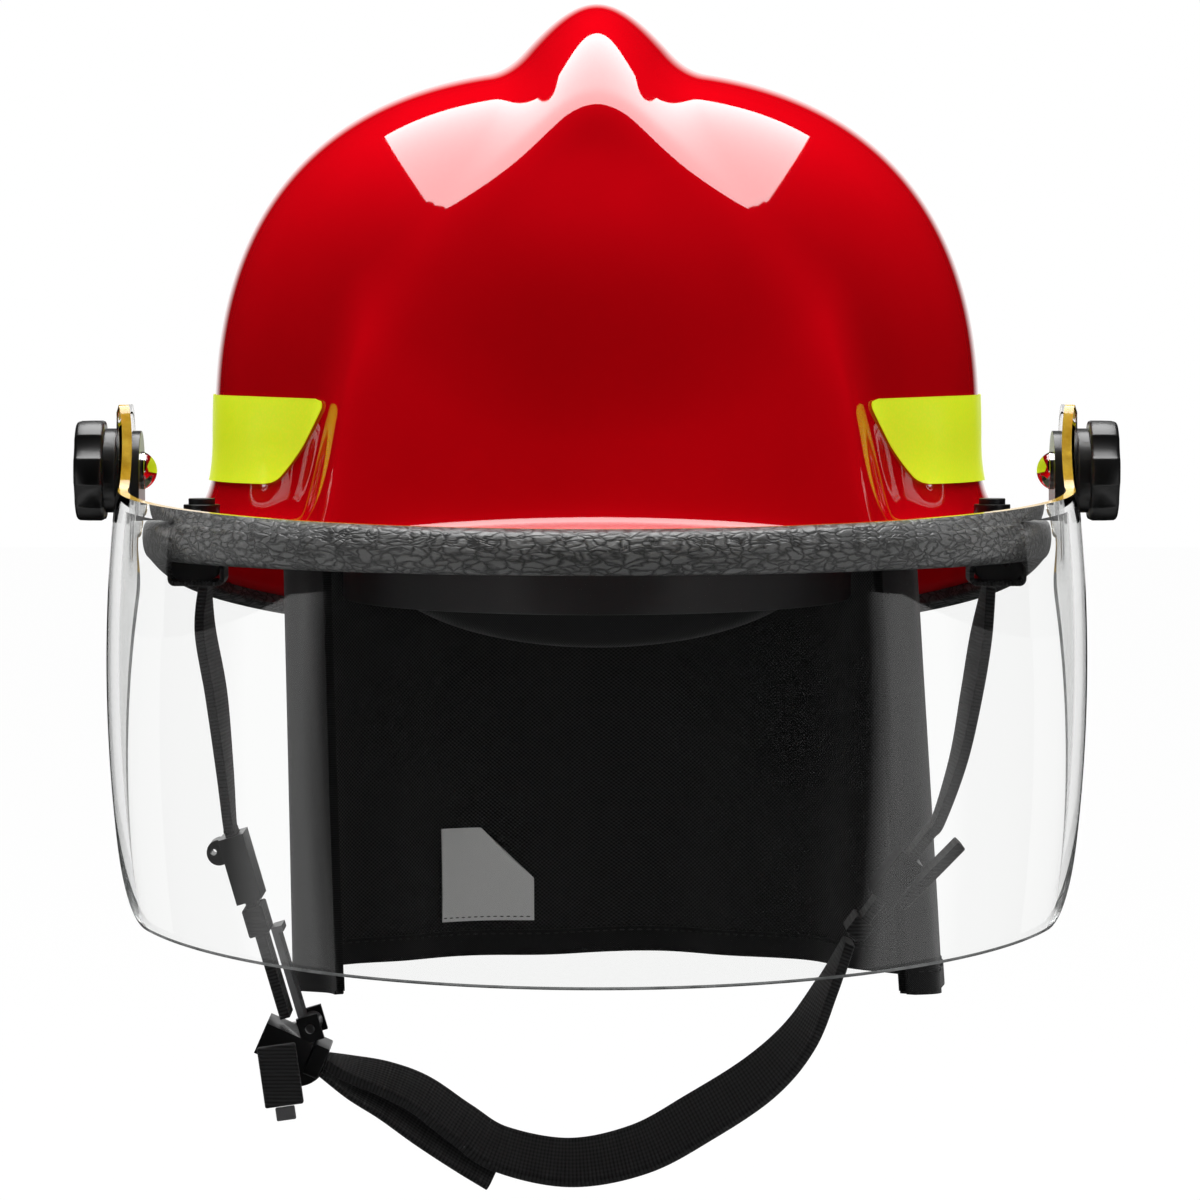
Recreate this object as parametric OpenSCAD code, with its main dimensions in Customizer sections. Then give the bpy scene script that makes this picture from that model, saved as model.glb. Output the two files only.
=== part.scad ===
// Fire helmet with a crested shell, a full-width face shield on two knobs, a liner,
// a ratchet suspension, a neck cover and a chin strap. Millimetres, +Z up, front at -Y.
// The origin is the centre of the headband, where the head sits.

/* [Dome of the shell] */
// Half width of the dome at its base
dome_half_w = 118.5; // [112:0.5:124]
// Reach of the side lobes in front of the dome centre
lobe_front = 103; // [97:0.5:108]
// Room between the back of the neck cover and the back of the dome
dome_rear_room = 6.5; // [5:0.5:9]
// Height of the side lobes above the dome base
lobe_h = 115; // [109:0.5:120]
// Height of the dome base above the origin
dome_base_z = 33; // [29:0.5:37]
// Wall of the shell
shell_wall = 3.2; // [2.6:0.1:3.8]

/* [Crest and front panel] */
// Height of the crest above the side lobes
crest_rise = 20; // [15:0.5:24]
// Radius over the top of the crest
crest_round = 16; // [12:0.5:20]
// Reach of the crest behind the dome centre
crest_reach = 128; // [122:0.5:131]
// Reach of the crest's front, which the panel cuts, ahead of the dome centre
crest_front = 126; // [123:0.5:129]
// Reach of the front panel's foot ahead of the dome centre
panel_reach = 113; // [109:0.5:116]
// Lean of the front panel from upright, in degrees
panel_lean = 18; // [15:0.5:21]
// Softness of the rib that edges the front panel
rib_soft = 11; // [7:0.5:14]

/* [Brim] */
// Reach of the brim beyond the dome's side
brim_side = 25; // [21.5:0.5:27.5]
// Half length of the brim
brim_half_l = 168; // [163:0.5:173]
// Height of the brim edge at the front and sides
brim_z = 5.6; // [3:0.2:8]
// Drop of the rear brim for each millimetre back
brim_fall = 0.206; // [0.15:0.005:0.26]
// Height of the edge trim
trim_h = 12.2; // [10:0.2:14]
// Depth of the edge trim beyond the brim edge
trim_out = 3.4; // [2.6:0.1:4.4]
// Lap of the edge trim over the brim
trim_lap = 5; // [3.5:0.1:7]

/* [Face shield] */
// Reach of the lens, where it is widest, beyond the brim's side
lens_side = 1.9; // [0:0.1:3.5]
// Thickness of the lens
lens_t = 3.6; // [3:0.1:4.2]
// Height of the lens below the origin
lens_drop = 120; // [100:1:140]
// Distance of the pivot axis in front of the origin
pivot_front = 55; // [52:0.5:58]
// Height of the pivot axis above the origin
pivot_z = 25; // [23:0.5:28]
// Diameter of the pivot bolt
bolt_d = 6; // [5:0.5:7]
// Diameter of the knob over its lobes
knob_d = 31; // [27:0.5:36]
// Thickness of the knob head
knob_head_t = 9.4; // [7:0.2:12]
// Diameter of the knob's skirt
knob_skirt_d = 25.4; // [22:0.2:27]
// Length of the knob's skirt
knob_skirt_l = 3.8; // [2.6:0.2:5]

/* [Liner and suspension] */
// Thickness of the foam impact liner
liner_t = 13; // [10:0.5:15]
// Gap between the shell and the liner
liner_gap = 0.8; // [0.4:0.1:1.6]
// Half width of the headband
band_half_w = 78; // [74:0.5:80]
// Room behind the headband for the ratchet, out to the neck cover
nape_room = 22.5; // [22:0.1:24]
// Reach of the headband in front of the origin
band_front = 84; // [80:0.5:88]
// Height of the headband strip
band_h = 34; // [28:1:34]
// Thickness of the headband strip
band_t = 1.8; // [1.4:0.1:2.4]
// Thickness of the brow pad
brow_pad_t = 5; // [3:0.5:7]
// Width of the crown webbing
crown_web_w = 20; // [16:0.5:25]
// Diameter of the ratchet knob
ratchet_d = 36; // [30:0.5:37]

/* [Neck cover] */
// Half width of the neck cover at its top
cover_half_w = 99; // [97:0.5:101]
// Drop of the hem at the middle of the back
cover_drop = 141; // [120:1:160]
// Extra drop of the hem at its front corners
cover_corner_drop = 2; // [0:0.5:20]
// Thickness of the layered cloth
cover_t = 2.4; // [1.6:0.1:3.4]

/* [Chin strap] */
// Width of the strap webbing
web_w = 19; // [16:0.5:22]
// Thickness of the strap webbing
web_t = 1.6; // [1.2:0.1:2]

/* [Clearances] */
// Running gap between parts that move on each other
run_gap = 0.3; // [0.2:0.05:0.5]
// Gap round each bolt, shaft and pin that something turns on
shaft_gap = 0.08; // [0.05:0.01:0.1]
// Gap between the lens and the edge trim
lens_gap = 1.4; // [1:0.1:2.4]

/* [Hidden] */
$fn = 48;

// The headband's middle and the dome centre, and the sizes that follow from them
band_mid_y = 26;
dome_y = 4;
cover_rear = band_mid_y + band_half_w + nape_room;
dome_rear = cover_rear + dome_rear_room - dome_y;
brim_half_w = dome_half_w + brim_side;
lens_half_w = brim_half_w + lens_side;
// Exponents of the dome's outline and of its upright section
plan_power_front = 2.5;
plan_power_rear = 2.15;
dome_power = 2.5;
// Exponents of the crest's profile, in front and behind
crest_power_front = 1.8;
crest_power_rear = 2.3;
// Steepness of the crest's side: at its ridge, the width over which it grows by one, and in
// front, where the side spreads between two depths
crest_steep = 1.15;
crest_steep_w = 160;
crest_steep_front = 0.88;
crest_spread_y = 40;
crest_spread_l = 45;
// Half width of the panel's lower corners and the softness beyond them
corner_half = 68;
corner_soft = 6;
// Distances between which the crest's face is found, and the halvings that find it
crest_near = 20;
crest_far = 190;
crest_halvings = 14;
// Height of the panel's foot and softness of the valley beside the crest
panel_foot_z = 20;
valley_soft = 6;
brim_y = 17;
brim_power_front = 2;
brim_power_rear = 2.3;
brim_fall_y = 10;
brim_fall_soft = 26;
brim_slope_front = 0.1;
brim_slope_rear = 0.3;
// Faces of the shell: columns round it, rows up the dome and rows down the flare
shell_cols = 84;
dome_rows = 14;
flare_rows = 5;
// Patches: bearings of their ends at the lower and then at the upper edge, rows of the shell
// that they cover, and film
front_ends = [50, 112, 42.5, 116];
rear_ends = [128, 164, 124, 160];
patch_rows = [3.85, 4, 5, 6, 6.05];
patch_cols = 42;
film_gap = 0.75;
film_t = 0.3;
// Outline of the lens
lens_wide_z = -32;
lens_bow = 0.00108;
lens_front_y = brim_y - brim_half_l - trim_out - lens_gap - lens_t;
lens_mid_y = -86;
// Its ends toe in over a length, and slope up from a soft lower corner
lens_toe = 6;
lens_toe_l = 35;
lens_end_rise = 2.65;
lens_end_y = 2.8;
lens_corner = 26;
lens_low_rise = 0.23;
lens_top_z = 11.4;
lens_top_rise = 0.125;
lens_front_share = 0.55;
lens_side_cols = 30;
lens_rows = 6;
// Ear of the lens round the pivot: its outer face, half length, and reach up and down
ear_out = 0.4;
ear_x = brim_half_w + ear_out;
ear_half_l = 16;
ear_up = 22;
ear_down = 18;
ear_mid_z = pivot_z - 2;
ear_ramp_y = 29;
ear_ramp_l = 16;
// The lens joins the ear over this height and length
seat_low_z = -14;
seat_h = 18;
seat_l = 20;
// Knob: the hollows between its lobes, and the solid end over its bore
knob_lobes = 6;
knob_hollow_d = 9;
knob_hollow_out = 3.2;
knob_cap = 2.6;
knob_bore_l = knob_skirt_l + knob_head_t - knob_cap;
// Head of the pivot bolt: a flange under a dome
bolt_flange_d = 1.9 * bolt_d;
bolt_flange_t = 1;
bolt_dome_h = 3.6;
// Bracket that carries the pivot
bracket_t = 2.8;
bracket_w = 24;
foot_w = 15;
foot_t = 2.8;
boss_h = 4.4;
boss_d = 11;
boss_neck_d = 7;
// The screw stands in from the brim's edge beside the pivot
bracket_screw_in = 10.455;
bracket_screw_x = brim_half_w * pow(1 - pow((brim_y + pivot_front) / brim_half_l,
    brim_power_front), 1 / brim_power_front) - bracket_screw_in;
bracket_foot_z = brim_z - shell_wall / 2 + trim_h / 2 + run_gap;
bracket_seat_z = brim_z + 3.4;
screw_d = 4;
screw_head_h = 1.8;
nut_z = brim_z - shell_wall;
nut_h = 3;
// Length of cuts that pass right through a piece
through = 30;
// Liner
liner_cols = 40;
liner_dome_rows = 8;
liner_low_z = 20;
// Headband, brow pad, crown webbing and clips
band_end = 150;
brow_pad_half = 72;
brow_pad_in = 2;
crown_steps = 24;
crown_y = 10;
crown_z = 108;
crown_turns = [35, 90, 145];
clip_turns = [35, 90, 145, 215, 270, 325];
clip_w = 15;
clip_t = 2.4;
clip_lap = 3.5;
clip_tuck = 6;
clip_low_z = 3.5;
clip_arm_z = band_h / 2 + run_gap;
clip_top_z = liner_low_z - run_gap;
crown_foot_z = clip_top_z + run_gap;
// Ratchet at the nape
ratchet_z = -8;
pinion_r = 3.2;
pinion_tooth = 0.7;
tail_h = 7;
tail_t = 1.6;
tail_reach = 40;
tail_lap = 8;
house_wall_in = 1.6;
house_wall_out = 1.8;
house_room = 1;
grip_d = 4;
grips = 18;
house_in = band_half_w + band_t + run_gap - 2;
house_out = house_in + 8;
house_h = 26;
house_half = 22;
shaft_d = 6;
ratchet_knob_t = 10;
nape_pad_t = 5;
nape_pad_half = 54;
nape_pad_lap = 6;
nape_pad_drop = 17;
nape_pad_end_drop = 4;
// Neck cover and its label
cover_power = 2.05;
cover_mid_y = 40;
cover_front = 33;
cover_turn = 120;
cover_top_z = liner_low_z - run_gap;
cover_rows = 10;
cover_cols = 52;
fold_depth = 5;
cover_lean_left = 5;
cover_lean_right = 11;
snap_marks = [-0.72, -0.45, -0.18, 0.18, 0.45, 0.72];
snap_down = 0.08;
snap_gap = 0.8;
snap_d = 11;
snap_t = 2.2;
label_share = 0.08;
label_h = 31;
label_t = 0.8;
label_low = 0.93;
label_mark = -0.185;
// Hangers and the routes of the upper straps: out, back, height and twist
hanger_turn = -5;
hanger_l = 24;
hanger_low_z = -10;
hanger_bar_h = 3.4;
hanger_slot_h = 3;
hanger_drop = 1;
hanger_round = 2;
rivet_d = 4;
rivet_gap = 7;
// Underside of the brim over the hangers, as points across and up
hanger_roof = [for (s = [0.2:0.1:0.7])
    let (p = flare(90 + hanger_turn, s, shell_wall)) [p[0] - hanger_drop / 2, p[2] - hanger_drop]];
hanger_out = hanger_roof[0][0];
hanger_in = hanger_roof[len(hanger_roof) - 1][0];
rivet_at = flare(90 + hanger_turn, 0.3);
strap_y = flare(90 + hanger_turn, 0.6, shell_wall)[1];
// The strap's routes were chosen for this middle of the hangers, and move out with it
route_hanger_x = 124.525;
strap_shift = (hanger_in + hanger_out) / 2 - route_hanger_x;
left_route = [[122, 0, -12.2, 0], [122, 0, -26, 8], [118.5, 0, -46, 9], [115.8, 0, -70, 4],
    [114.3, 0, -86.8, 0], [113.2, 0, -90.6, 0], [105, 0, -118.4, 0], [96.8, 0, -146.2, 0]];
right_route = [[122, 0, -12.2, 0], [119.5, 0, -28, 9], [116.5, 0, -46, 9],
    [112.5, 0, -66, 5], [106.3, 0, -84.9, 0], [103, 0, -89.3, 0], [96, 0, -98.6, 0],
    [79, 0, -121.2, 0]];
// Left fittings hang along a line from here, leaning in by an angle
fitting_x = -113.2 - strap_shift;
fitting_z = -90.6;
fitting_lean = 16.4;
guide_l = 20;
guide_wall = 2.2;
hook_x = -5.4;
hook_z = -3;
hook_d = 8;
hook_w = 12;
hook_hole_d = 2;
hook_hole_x = -7;
hook_hole_z = -2.4;
keeper_l = 9;
keeper_wall = 1.4;
keeper_gap = 2;
fitting_strap_l = 58;
lever_l = 31;
lever_w = 16;
lever_t = 2;
lever_lip = 3.6;
lever_window_w = 8;
lever_window_l = 16;
lever_window_z = 8;
lever_z = -63;
lever_x = 6.8;
pin_d = 3;
lever_eye_r = pin_d / 2 + 1.5;
lever_room = 0.9;
// Buckle: socket centre, the slope of its plug, and their sizes
socket_x = -96 - strap_shift;
socket_z = -155.5;
plug_slope = 23.6;
socket_w = 26;
socket_t = 10;
socket_back = 9;
socket_front = 7;
socket_wall = 3;
cheek_w = 6.8;
cheek_l = 8;
plug_w = 20;
plug_t = 5;
plug_bar_l = 5;
plug_slot_l = 8.4;
plug_slot_w = 2;
plug_slot_y = 5;
plug_in = socket_wall - socket_back + 2 * run_gap;
// Disc behind the socket, which sinks a little into the socket's side
hub_x = 1.6;
hub_z = -5;
hub_d = 20;
hub_h = 4;
hub_sink = 0.6;
// Pull tab under the buckle, and its tip
tab_x = -6.6;
tab_z = -18;
tab_w = 12;
tab_l = 19;
tab_lean = 8;
tip_w = 6;
tip_l = 4.2;
tip_t = 2;
// Right fittings lie along the straight end of the right upper strap
slide_x = 92.8 + strap_shift;
slide_z = -102.8;
slide_lean = 36.9;
slide_l = 16;
slide_wall = 2.4;
slide_room = 0.4;
slide_travel = 8;
slide_keeper_l = 6;
end_l = 27;
end_low = -6;
end_lean = 8;
// Routes of the lower strap and of its loose tail: across, back, height and twist
lower_route = [[-84.3, 0, -160.6, 0], [-77.5, 0, -163, -10], [-66, 0, -166.4, -20],
    [-54.9, 0, -171.4, -26], [-42.5, 0, -180.4, -30], [-30, 0, -188.4, -34],
    [-8.4, 0, -192.6, -38], [13.3, 0, -188.4, -42], [31.9, 0, -178.4, -44],
    [50.5, 0, -166.2, -40], [62.9, 0, -153.4, -28], [71.4, 0, -138, -12],
    [78.2, 0, -123.2, 0]];
tail_route = [[-85.9, 0, -163.8, 0], [-76, 0, -169.4, -12], [-65.7, 0, -174.6, -20],
    [-54, 0, -182.4, -24], [-42, 0, -190, -26], [-32, 0, -195.8, -28]];

function sq(v) = v * v;
function mix(a, b, s) = a + (b - a) * s;
function clamp01(v) = max(0, min(1, v));
function ease(v) = clamp01(v) * clamp01(v) * (3 - 2 * clamp01(v));
function unit(v) = v / norm(v);
// Smooth lower and upper of two distances, rounded over a width k
function soft_min(a, b, k) = min(a, b) - sq(max(k - abs(a - b), 0)) / (4 * k);
function soft_max(a, b, k) = -soft_min(-a, -b, k);

// Direction from the dome centre: bearing 0 is the front, lift is the height angle
function ray(bearing, lift) = [cos(lift) * sin(bearing), -cos(lift) * cos(bearing), sin(lift)];

// Distance to the smooth dome, drawn in by an inset
function dome_dist(d, inset) =
    let (a = dome_half_w - inset, front = d[1] < 0)
    let (b = (front ? lobe_front : dome_rear) - inset)
    let (p = front ? plan_power_front : plan_power_rear)
    let (plan = pow(pow(abs(d[0]) / a, p) + pow(abs(d[1]) / b, p), 1 / p))
    pow(pow(plan, dome_power) + pow(d[2] / (lobe_h - inset), dome_power), -1 / dome_power);

// Fall of the crest's side below its ridge, at a half width w and a depth y
function crest_fall(w, y) =
    let (ahead = ease((-y - crest_spread_y) / crest_spread_l))
    let (steep = mix(crest_steep + w / crest_steep_w, crest_steep_front, ahead))
    (sqrt(sq(w) + sq(crest_round)) - crest_round) * steep
    + ahead * sq(max(0, w - corner_half)) / corner_soft;

function crest_level(p, inset) =
    let (front = p[1] < 0, power = front ? crest_power_front : crest_power_rear)
    let (fall = crest_fall(abs(p[0]) + inset, p[1]))
    pow(abs(p[1]) / ((front ? crest_front : crest_reach) - inset), power)
    + pow(max(0, p[2] + fall) / (lobe_h + crest_rise - inset), power);

function crest_dist(d, inset, low, high, steps) =
    steps == 0 ? low
    : crest_level(d * (low + high) / 2, inset) < 1
    ? crest_dist(d, inset, (low + high) / 2, high, steps - 1)
    : crest_dist(d, inset, low, (low + high) / 2, steps - 1);

function panel_dist(d, inset) =
    let (n = [0, -cos(panel_lean), sin(panel_lean)])
    let (foot = [0, -panel_reach, panel_foot_z - dome_base_z])
    let (toward = n * d)
    toward > 0.05 ? (n * foot - inset) / toward : 9999;

// Distance from the dome centre to the skin: side lobes, crest and front panel in one
function skin_dist(d, inset = 0) =
    let (crest = crest_dist(d, inset, crest_near, crest_far, crest_halvings))
    let (wedge = soft_min(crest, panel_dist(d, inset), rib_soft))
    soft_max(dome_dist(d, inset), wedge, valley_soft);

function skin(bearing, lift, inset = 0) =
    [0, dome_y, dome_base_z] + ray(bearing, lift) * skin_dist(ray(bearing, lift), inset);

// Brim edge at a bearing, with its length changed by grow
function brim_plan(bearing, grow = 0) =
    let (p = cos(bearing) > 0 ? brim_power_front : brim_power_rear)
    let (c = abs(sin(bearing)) / (brim_half_w + grow), s = abs(cos(bearing)) / (brim_half_l + grow))
    let (r = pow(pow(c, p) + pow(s, p), -1 / p))
    [r * sin(bearing), brim_y - r * cos(bearing)];
function brim_level(y) =
    let (u = y - brim_fall_y)
    brim_z - brim_fall * (u + sqrt(sq(u) + sq(brim_fall_soft))) / 2;
function brim_edge(bearing, grow = 0) =
    let (q = brim_plan(bearing, grow))
    [q[0], q[1], brim_level(q[1])];

// Concave sweep from the dome's base to the brim edge, with s from 0 at the edge to 1
function flare(bearing, s, inset = 0) =
    let (low = skin(bearing, 0, inset), above = skin(bearing, 4, inset))
    let (edge = brim_edge(bearing) - [0, 0, inset])
    let (run = norm([low[0] - edge[0], low[1] - edge[1]]))
    let (rear = ease((low[1] + 20) / 140))
    let (corner_z = edge[2] + run * mix(brim_slope_front, brim_slope_rear, rear))
    let (down = unit(low - above))
    let (corner = low + down * (low[2] - corner_z) / max(0.3, -down[2]))
    let (a = low + (corner - low) * 0.8, b = edge + (corner - edge) * 0.72, t = 1 - s)
    low * pow(1 - t, 3) + a * 3 * t * sq(1 - t) + b * 3 * sq(t) * (1 - t) + edge * pow(t, 3);

// Faces that join rows of points, where each row is a ring and the last meets the first
function ring_faces(rows, cols) = [for (r = [0:rows - 1], c = [0:cols - 1], k = [0, 1])
    let (a = r * cols + c, b = r * cols + (c + 1) % cols)
    let (e = ((r + 1) % rows) * cols + c, f = ((r + 1) % rows) * cols + (c + 1) % cols)
    k == 0 ? [a, b, f] : [a, f, e]];

// A sheet of points in rows, given its outer and inner sides, closed round its four edges
module slab(outer, inner) {
    rows = len(outer);
    cols = len(outer[0]);
    n = rows * cols;
    pts = concat([for (r = outer) for (p = r) p], [for (r = inner) for (p = r) p]);
    top = [for (r = [0:rows - 2], c = [0:cols - 2], k = [0, 1])
        let (a = r * cols + c, b = a + 1, e = a + cols, f = e + 1)
        k == 0 ? [a, f, b] : [a, e, f]];
    low = [for (f = top) [f[2] + n, f[1] + n, f[0] + n]];
    edge = concat([for (c = [0:cols - 1]) c], [for (r = [1:rows - 1]) r * cols + cols - 1],
        [for (c = [cols - 2:-1:0]) (rows - 1) * cols + c], [for (r = [rows - 2:-1:1]) r * cols]);
    m = len(edge);
    side = [for (i = [0:m - 1], k = [0, 1])
        let (a = edge[i], b = edge[(i + 1) % m])
        k == 0 ? [a, b, b + n] : [a, b + n, a + n]];
    polyhedron(points = pts, faces = concat(top, low, side));
}

// A closed loop of sections, each with the same number of points
module loop_sweep(sections) {
    rows = len(sections);
    cols = len(sections[0]);
    polyhedron(points = [for (s = sections) for (p = s) p], faces = ring_faces(rows, cols));
}

// Points of the shell's outer or inner side, from the brim edge up to the crown
function shell_points(inset) = concat([for (r = [0:flare_rows + dome_rows - 1],
    c = [0:shell_cols - 1])
    let (bearing = c * 360 / shell_cols)
    r < flare_rows ? flare(bearing, r / flare_rows, inset)
    : skin(bearing, 90 * (r - flare_rows) / dome_rows, inset)], [skin(0, 90, inset)]);

module shell() color([0.85, 0.03, 0.04]) {
    top = flare_rows + dome_rows;
    n = top * shell_cols;
    pts = concat(shell_points(0), shell_points(shell_wall));
    outer = [for (r = [0:top - 2], c = [0:shell_cols - 1], k = [0, 1])
        let (a = r * shell_cols + c, b = r * shell_cols + (c + 1) % shell_cols)
        k == 0 ? [a, a + shell_cols, b + shell_cols] : [a, b + shell_cols, b]];
    cap = [for (c = [0:shell_cols - 1])
        [n - shell_cols + c, n, n - shell_cols + (c + 1) % shell_cols]];
    skin_faces = concat(outer, cap);
    under = [for (f = skin_faces) [f[2] + n + 1, f[1] + n + 1, f[0] + n + 1]];
    rim = [for (c = [0:shell_cols - 1], k = [0, 1])
        let (a = c, b = (c + 1) % shell_cols)
        k == 0 ? [a, b, b + n + 1] : [a, b + n + 1, a + n + 1]];
    difference() {
        polyhedron(points = pts, faces = concat(skin_faces, under, rim));
        for (side = [-1, 1]) {
            translate([side * bracket_screw_x, -pivot_front, 0]) cylinder(d = screw_d, h = through);
            for (end = [-1, 1]) at_rivet(side, end)
                cylinder(d = rivet_d, h = through, center = true);
        }
    }
}

// A point on the facets of the shell's wall, at a column and a row that may be fractions
function wall_grid(col, row) =
    let (bearing = col * 360 / shell_cols)
    row < flare_rows ? flare(bearing, row / flare_rows)
    : skin(bearing, 90 * (row - flare_rows) / dome_rows);
function wall_point(bearing, row, off) =
    let (col = bearing * shell_cols / 360, c = floor(col), r = floor(row))
    let (low = mix(wall_grid(c, r), wall_grid(c + 1, r), col - c))
    let (high = mix(wall_grid(c, r + 1), wall_grid(c + 1, r + 1), col - c))
    mix(low, high, row - r) + [sin(bearing), -cos(bearing), 0.2] * off;

// Rise of the brim's first facet for each millimetre inwards from its edge
function brim_slope(bearing) =
    let (rise = flare(bearing, 1 / flare_rows) - brim_edge(bearing))
    rise[2] / norm([rise[0], rise[1]]);

// Outline of the edge trim in its own plane: out from the brim edge and up. The brim's lower
// edge stands out further than its upper edge by a share of the wall
function trim_outline(slope) =
    let (h = trim_h / 2, slot = shell_wall / 2 + run_gap, foot = run_gap + shell_wall * slope)
    [[-trim_lap, slot], [run_gap, slot], [foot, -slot], [-trim_lap, -slot],
     [-trim_lap, 1 - h], [-trim_lap + 1.4, -h], [trim_out - 2.2, -h], [trim_out - 0.4, -h * 0.66],
     [trim_out, 0], [trim_out - 0.4, h * 0.66], [trim_out - 2.2, h], [-trim_lap + 1.4, h],
     [-trim_lap, h - 1]];

module edge_trim() color([0.2, 0.2, 0.2])
    loop_sweep([for (c = [0:shell_cols - 1])
        let (bearing = c * 360 / shell_cols, e = brim_edge(bearing))
        let (ahead = brim_plan(bearing + 1) - brim_plan(bearing - 1))
        let (out = unit([ahead[1], -ahead[0], 0]), slope = brim_slope(bearing))
        let (o = unit([out[0], out[1], -slope]), u = unit([out[0] * slope, out[1] * slope, 1]))
        [for (q = trim_outline(slope)) e - u * shell_wall / 2 + o * q[0] + u * q[1]]]);

// Reflective film between two bearings at its lower and its upper edge
module patch(low_a, low_b, high_a, high_b) color([0.8, 0.9, 0.1]) {
    first = patch_rows[0];
    rows = [for (off = [film_gap + film_t, film_gap]) [for (row = patch_rows)
        let (s = (row - first) / (patch_rows[len(patch_rows) - 1] - first))
        [for (c = [0:patch_cols]) let (a = mix(low_a, high_a, s), b = mix(low_b, high_b, s))
            wall_point(mix(a, b, c / patch_cols), row, off)]]];
    slab(rows[0], rows[1]);
}

module patch_front_left() patch(-front_ends[1], -front_ends[0], -front_ends[3], -front_ends[2]);
module patch_front_right() patch(front_ends[0], front_ends[1], front_ends[2], front_ends[3]);
module patch_rear_left() patch(-rear_ends[1], -rear_ends[0], -rear_ends[3], -rear_ends[2]);
module patch_rear_right() patch(rear_ends[0], rear_ends[1], rear_ends[2], rear_ends[3]);

// Lens: half width at a height, and the height of its lower and upper edge at a depth
function lens_half(z) = lens_half_w - lens_bow * sq(z - lens_wide_z);
function lens_top(y) =
    let (rear = clamp01((y + pivot_front) / ear_half_l))
    let (ear = ear_mid_z + ear_up * pow(max(0, 1 - pow(rear, 3)), 1 / 3))
    mix(lens_top_z + lens_top_rise * (y - lens_front_y), ear,
        ease((y + pivot_front + ear_ramp_y) / ear_ramp_l));
function lens_low(y) =
    let (rear = clamp01((y + pivot_front) / ear_half_l))
    let (level = -lens_drop + lens_low_rise * (y - lens_front_y))
    let (edge = soft_max(level, lens_end_rise * (y + pivot_front + lens_end_y), lens_corner))
    y < -pivot_front ? min(edge, ear_mid_z - ear_down)
    : ear_mid_z - ear_down * pow(max(0, 1 - pow(rear, 3)), 1 / 3);

// Point on the lens: along runs from 0 at the front to 1 at the ear's end, and depth is
// taken in from the outer face
function lens_xy(along, side, z, depth) =
    let (turn = min(1, along / lens_front_share) * 90)
    let (behind = max(0, along - lens_front_share) / (1 - lens_front_share))
    let (y = lens_mid_y - (lens_mid_y - lens_front_y - depth) * cos(turn)
        + behind * (ear_half_l - pivot_front - lens_mid_y))
    let (toe = lens_toe * sq((max(y, lens_mid_y) - lens_mid_y) / lens_toe_l))
    let (half = lens_half(z) * sin(turn) - toe)
    let (seat = ease((z - seat_low_z) / seat_h) * ease((y - lens_mid_y) / seat_l))
    [side * (mix(half, ear_x, seat) - depth * sin(turn)), y];
function lens_point(along, side, up, depth) =
    let (y = lens_xy(along, side, 0, 0)[1])
    let (z = mix(lens_low(y), lens_top(y), up), q = lens_xy(along, side, z, depth))
    [q[0], q[1], z];

module visor_lens() color([0.85, 0.9, 0.92, 0.4]) difference() {
    marks = concat([for (i = [0:lens_side_cols]) -1 + i / lens_side_cols],
        [for (i = [1:lens_side_cols]) i / lens_side_cols]);
    faces = [for (depth = [0, lens_t]) [for (r = [0:lens_rows])
        [for (m = marks) lens_point(abs(m), sign(m), r / lens_rows, depth)]]];
    slab(faces[0], faces[1]);
    for (side = [-1, 1]) at_pivot(side)
        translate([0, 0, -20]) cylinder(d = bolt_d + 2 * shaft_gap, h = 40);
}

// Pivot frame: +Z of the frame points out along the bolt, with its zero on the ear's
// outer face
module at_pivot(side)
    translate([side * ear_x, -pivot_front, pivot_z]) rotate([0, side * 90, 0]) children();

module knob() {
    color([0.05, 0.05, 0.05]) difference() {
        union() {
            translate([0, 0, run_gap]) cylinder(d = knob_skirt_d, h = knob_skirt_l);
            translate([0, 0, run_gap + knob_skirt_l]) difference() {
                cylinder(d = knob_d, h = knob_head_t);
                for (i = [0:knob_lobes - 1]) rotate([0, 0, 360 * (i + 0.5) / knob_lobes])
                    translate([knob_d / 2 + knob_hollow_out, 0, -1])
                        cylinder(d = knob_hollow_d, h = knob_head_t + 2);
            }
        }
        translate([0, 0, -1]) cylinder(d = bolt_d + 2 * shaft_gap, h = knob_bore_l + 1);
    }
}
module visor_knob_left() at_pivot(-1) knob();
module visor_knob_right() at_pivot(1) knob();

// Domed bolt, whose head sits inside the bracket and whose shank ends in the knob
module bolt() color([0.8, 0.8, 0.82]) {
    inside = -lens_t - run_gap - bracket_t;
    translate([0, 0, inside]) cylinder(d = bolt_d, h = knob_bore_l - run_gap - inside);
    translate([0, 0, inside - bolt_flange_t]) cylinder(d = bolt_flange_d, h = bolt_flange_t);
    translate([0, 0, inside - bolt_flange_t]) rotate([180, 0, 0])
        rotate_extrude() intersection() {
            translate([0, bolt_dome_h - bolt_d]) circle(r = bolt_d);
            square([bolt_d, bolt_dome_h + 1]);
        }
}
module pivot_bolt_left() at_pivot(-1) bolt();
module pivot_bolt_right() at_pivot(1) bolt();

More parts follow.
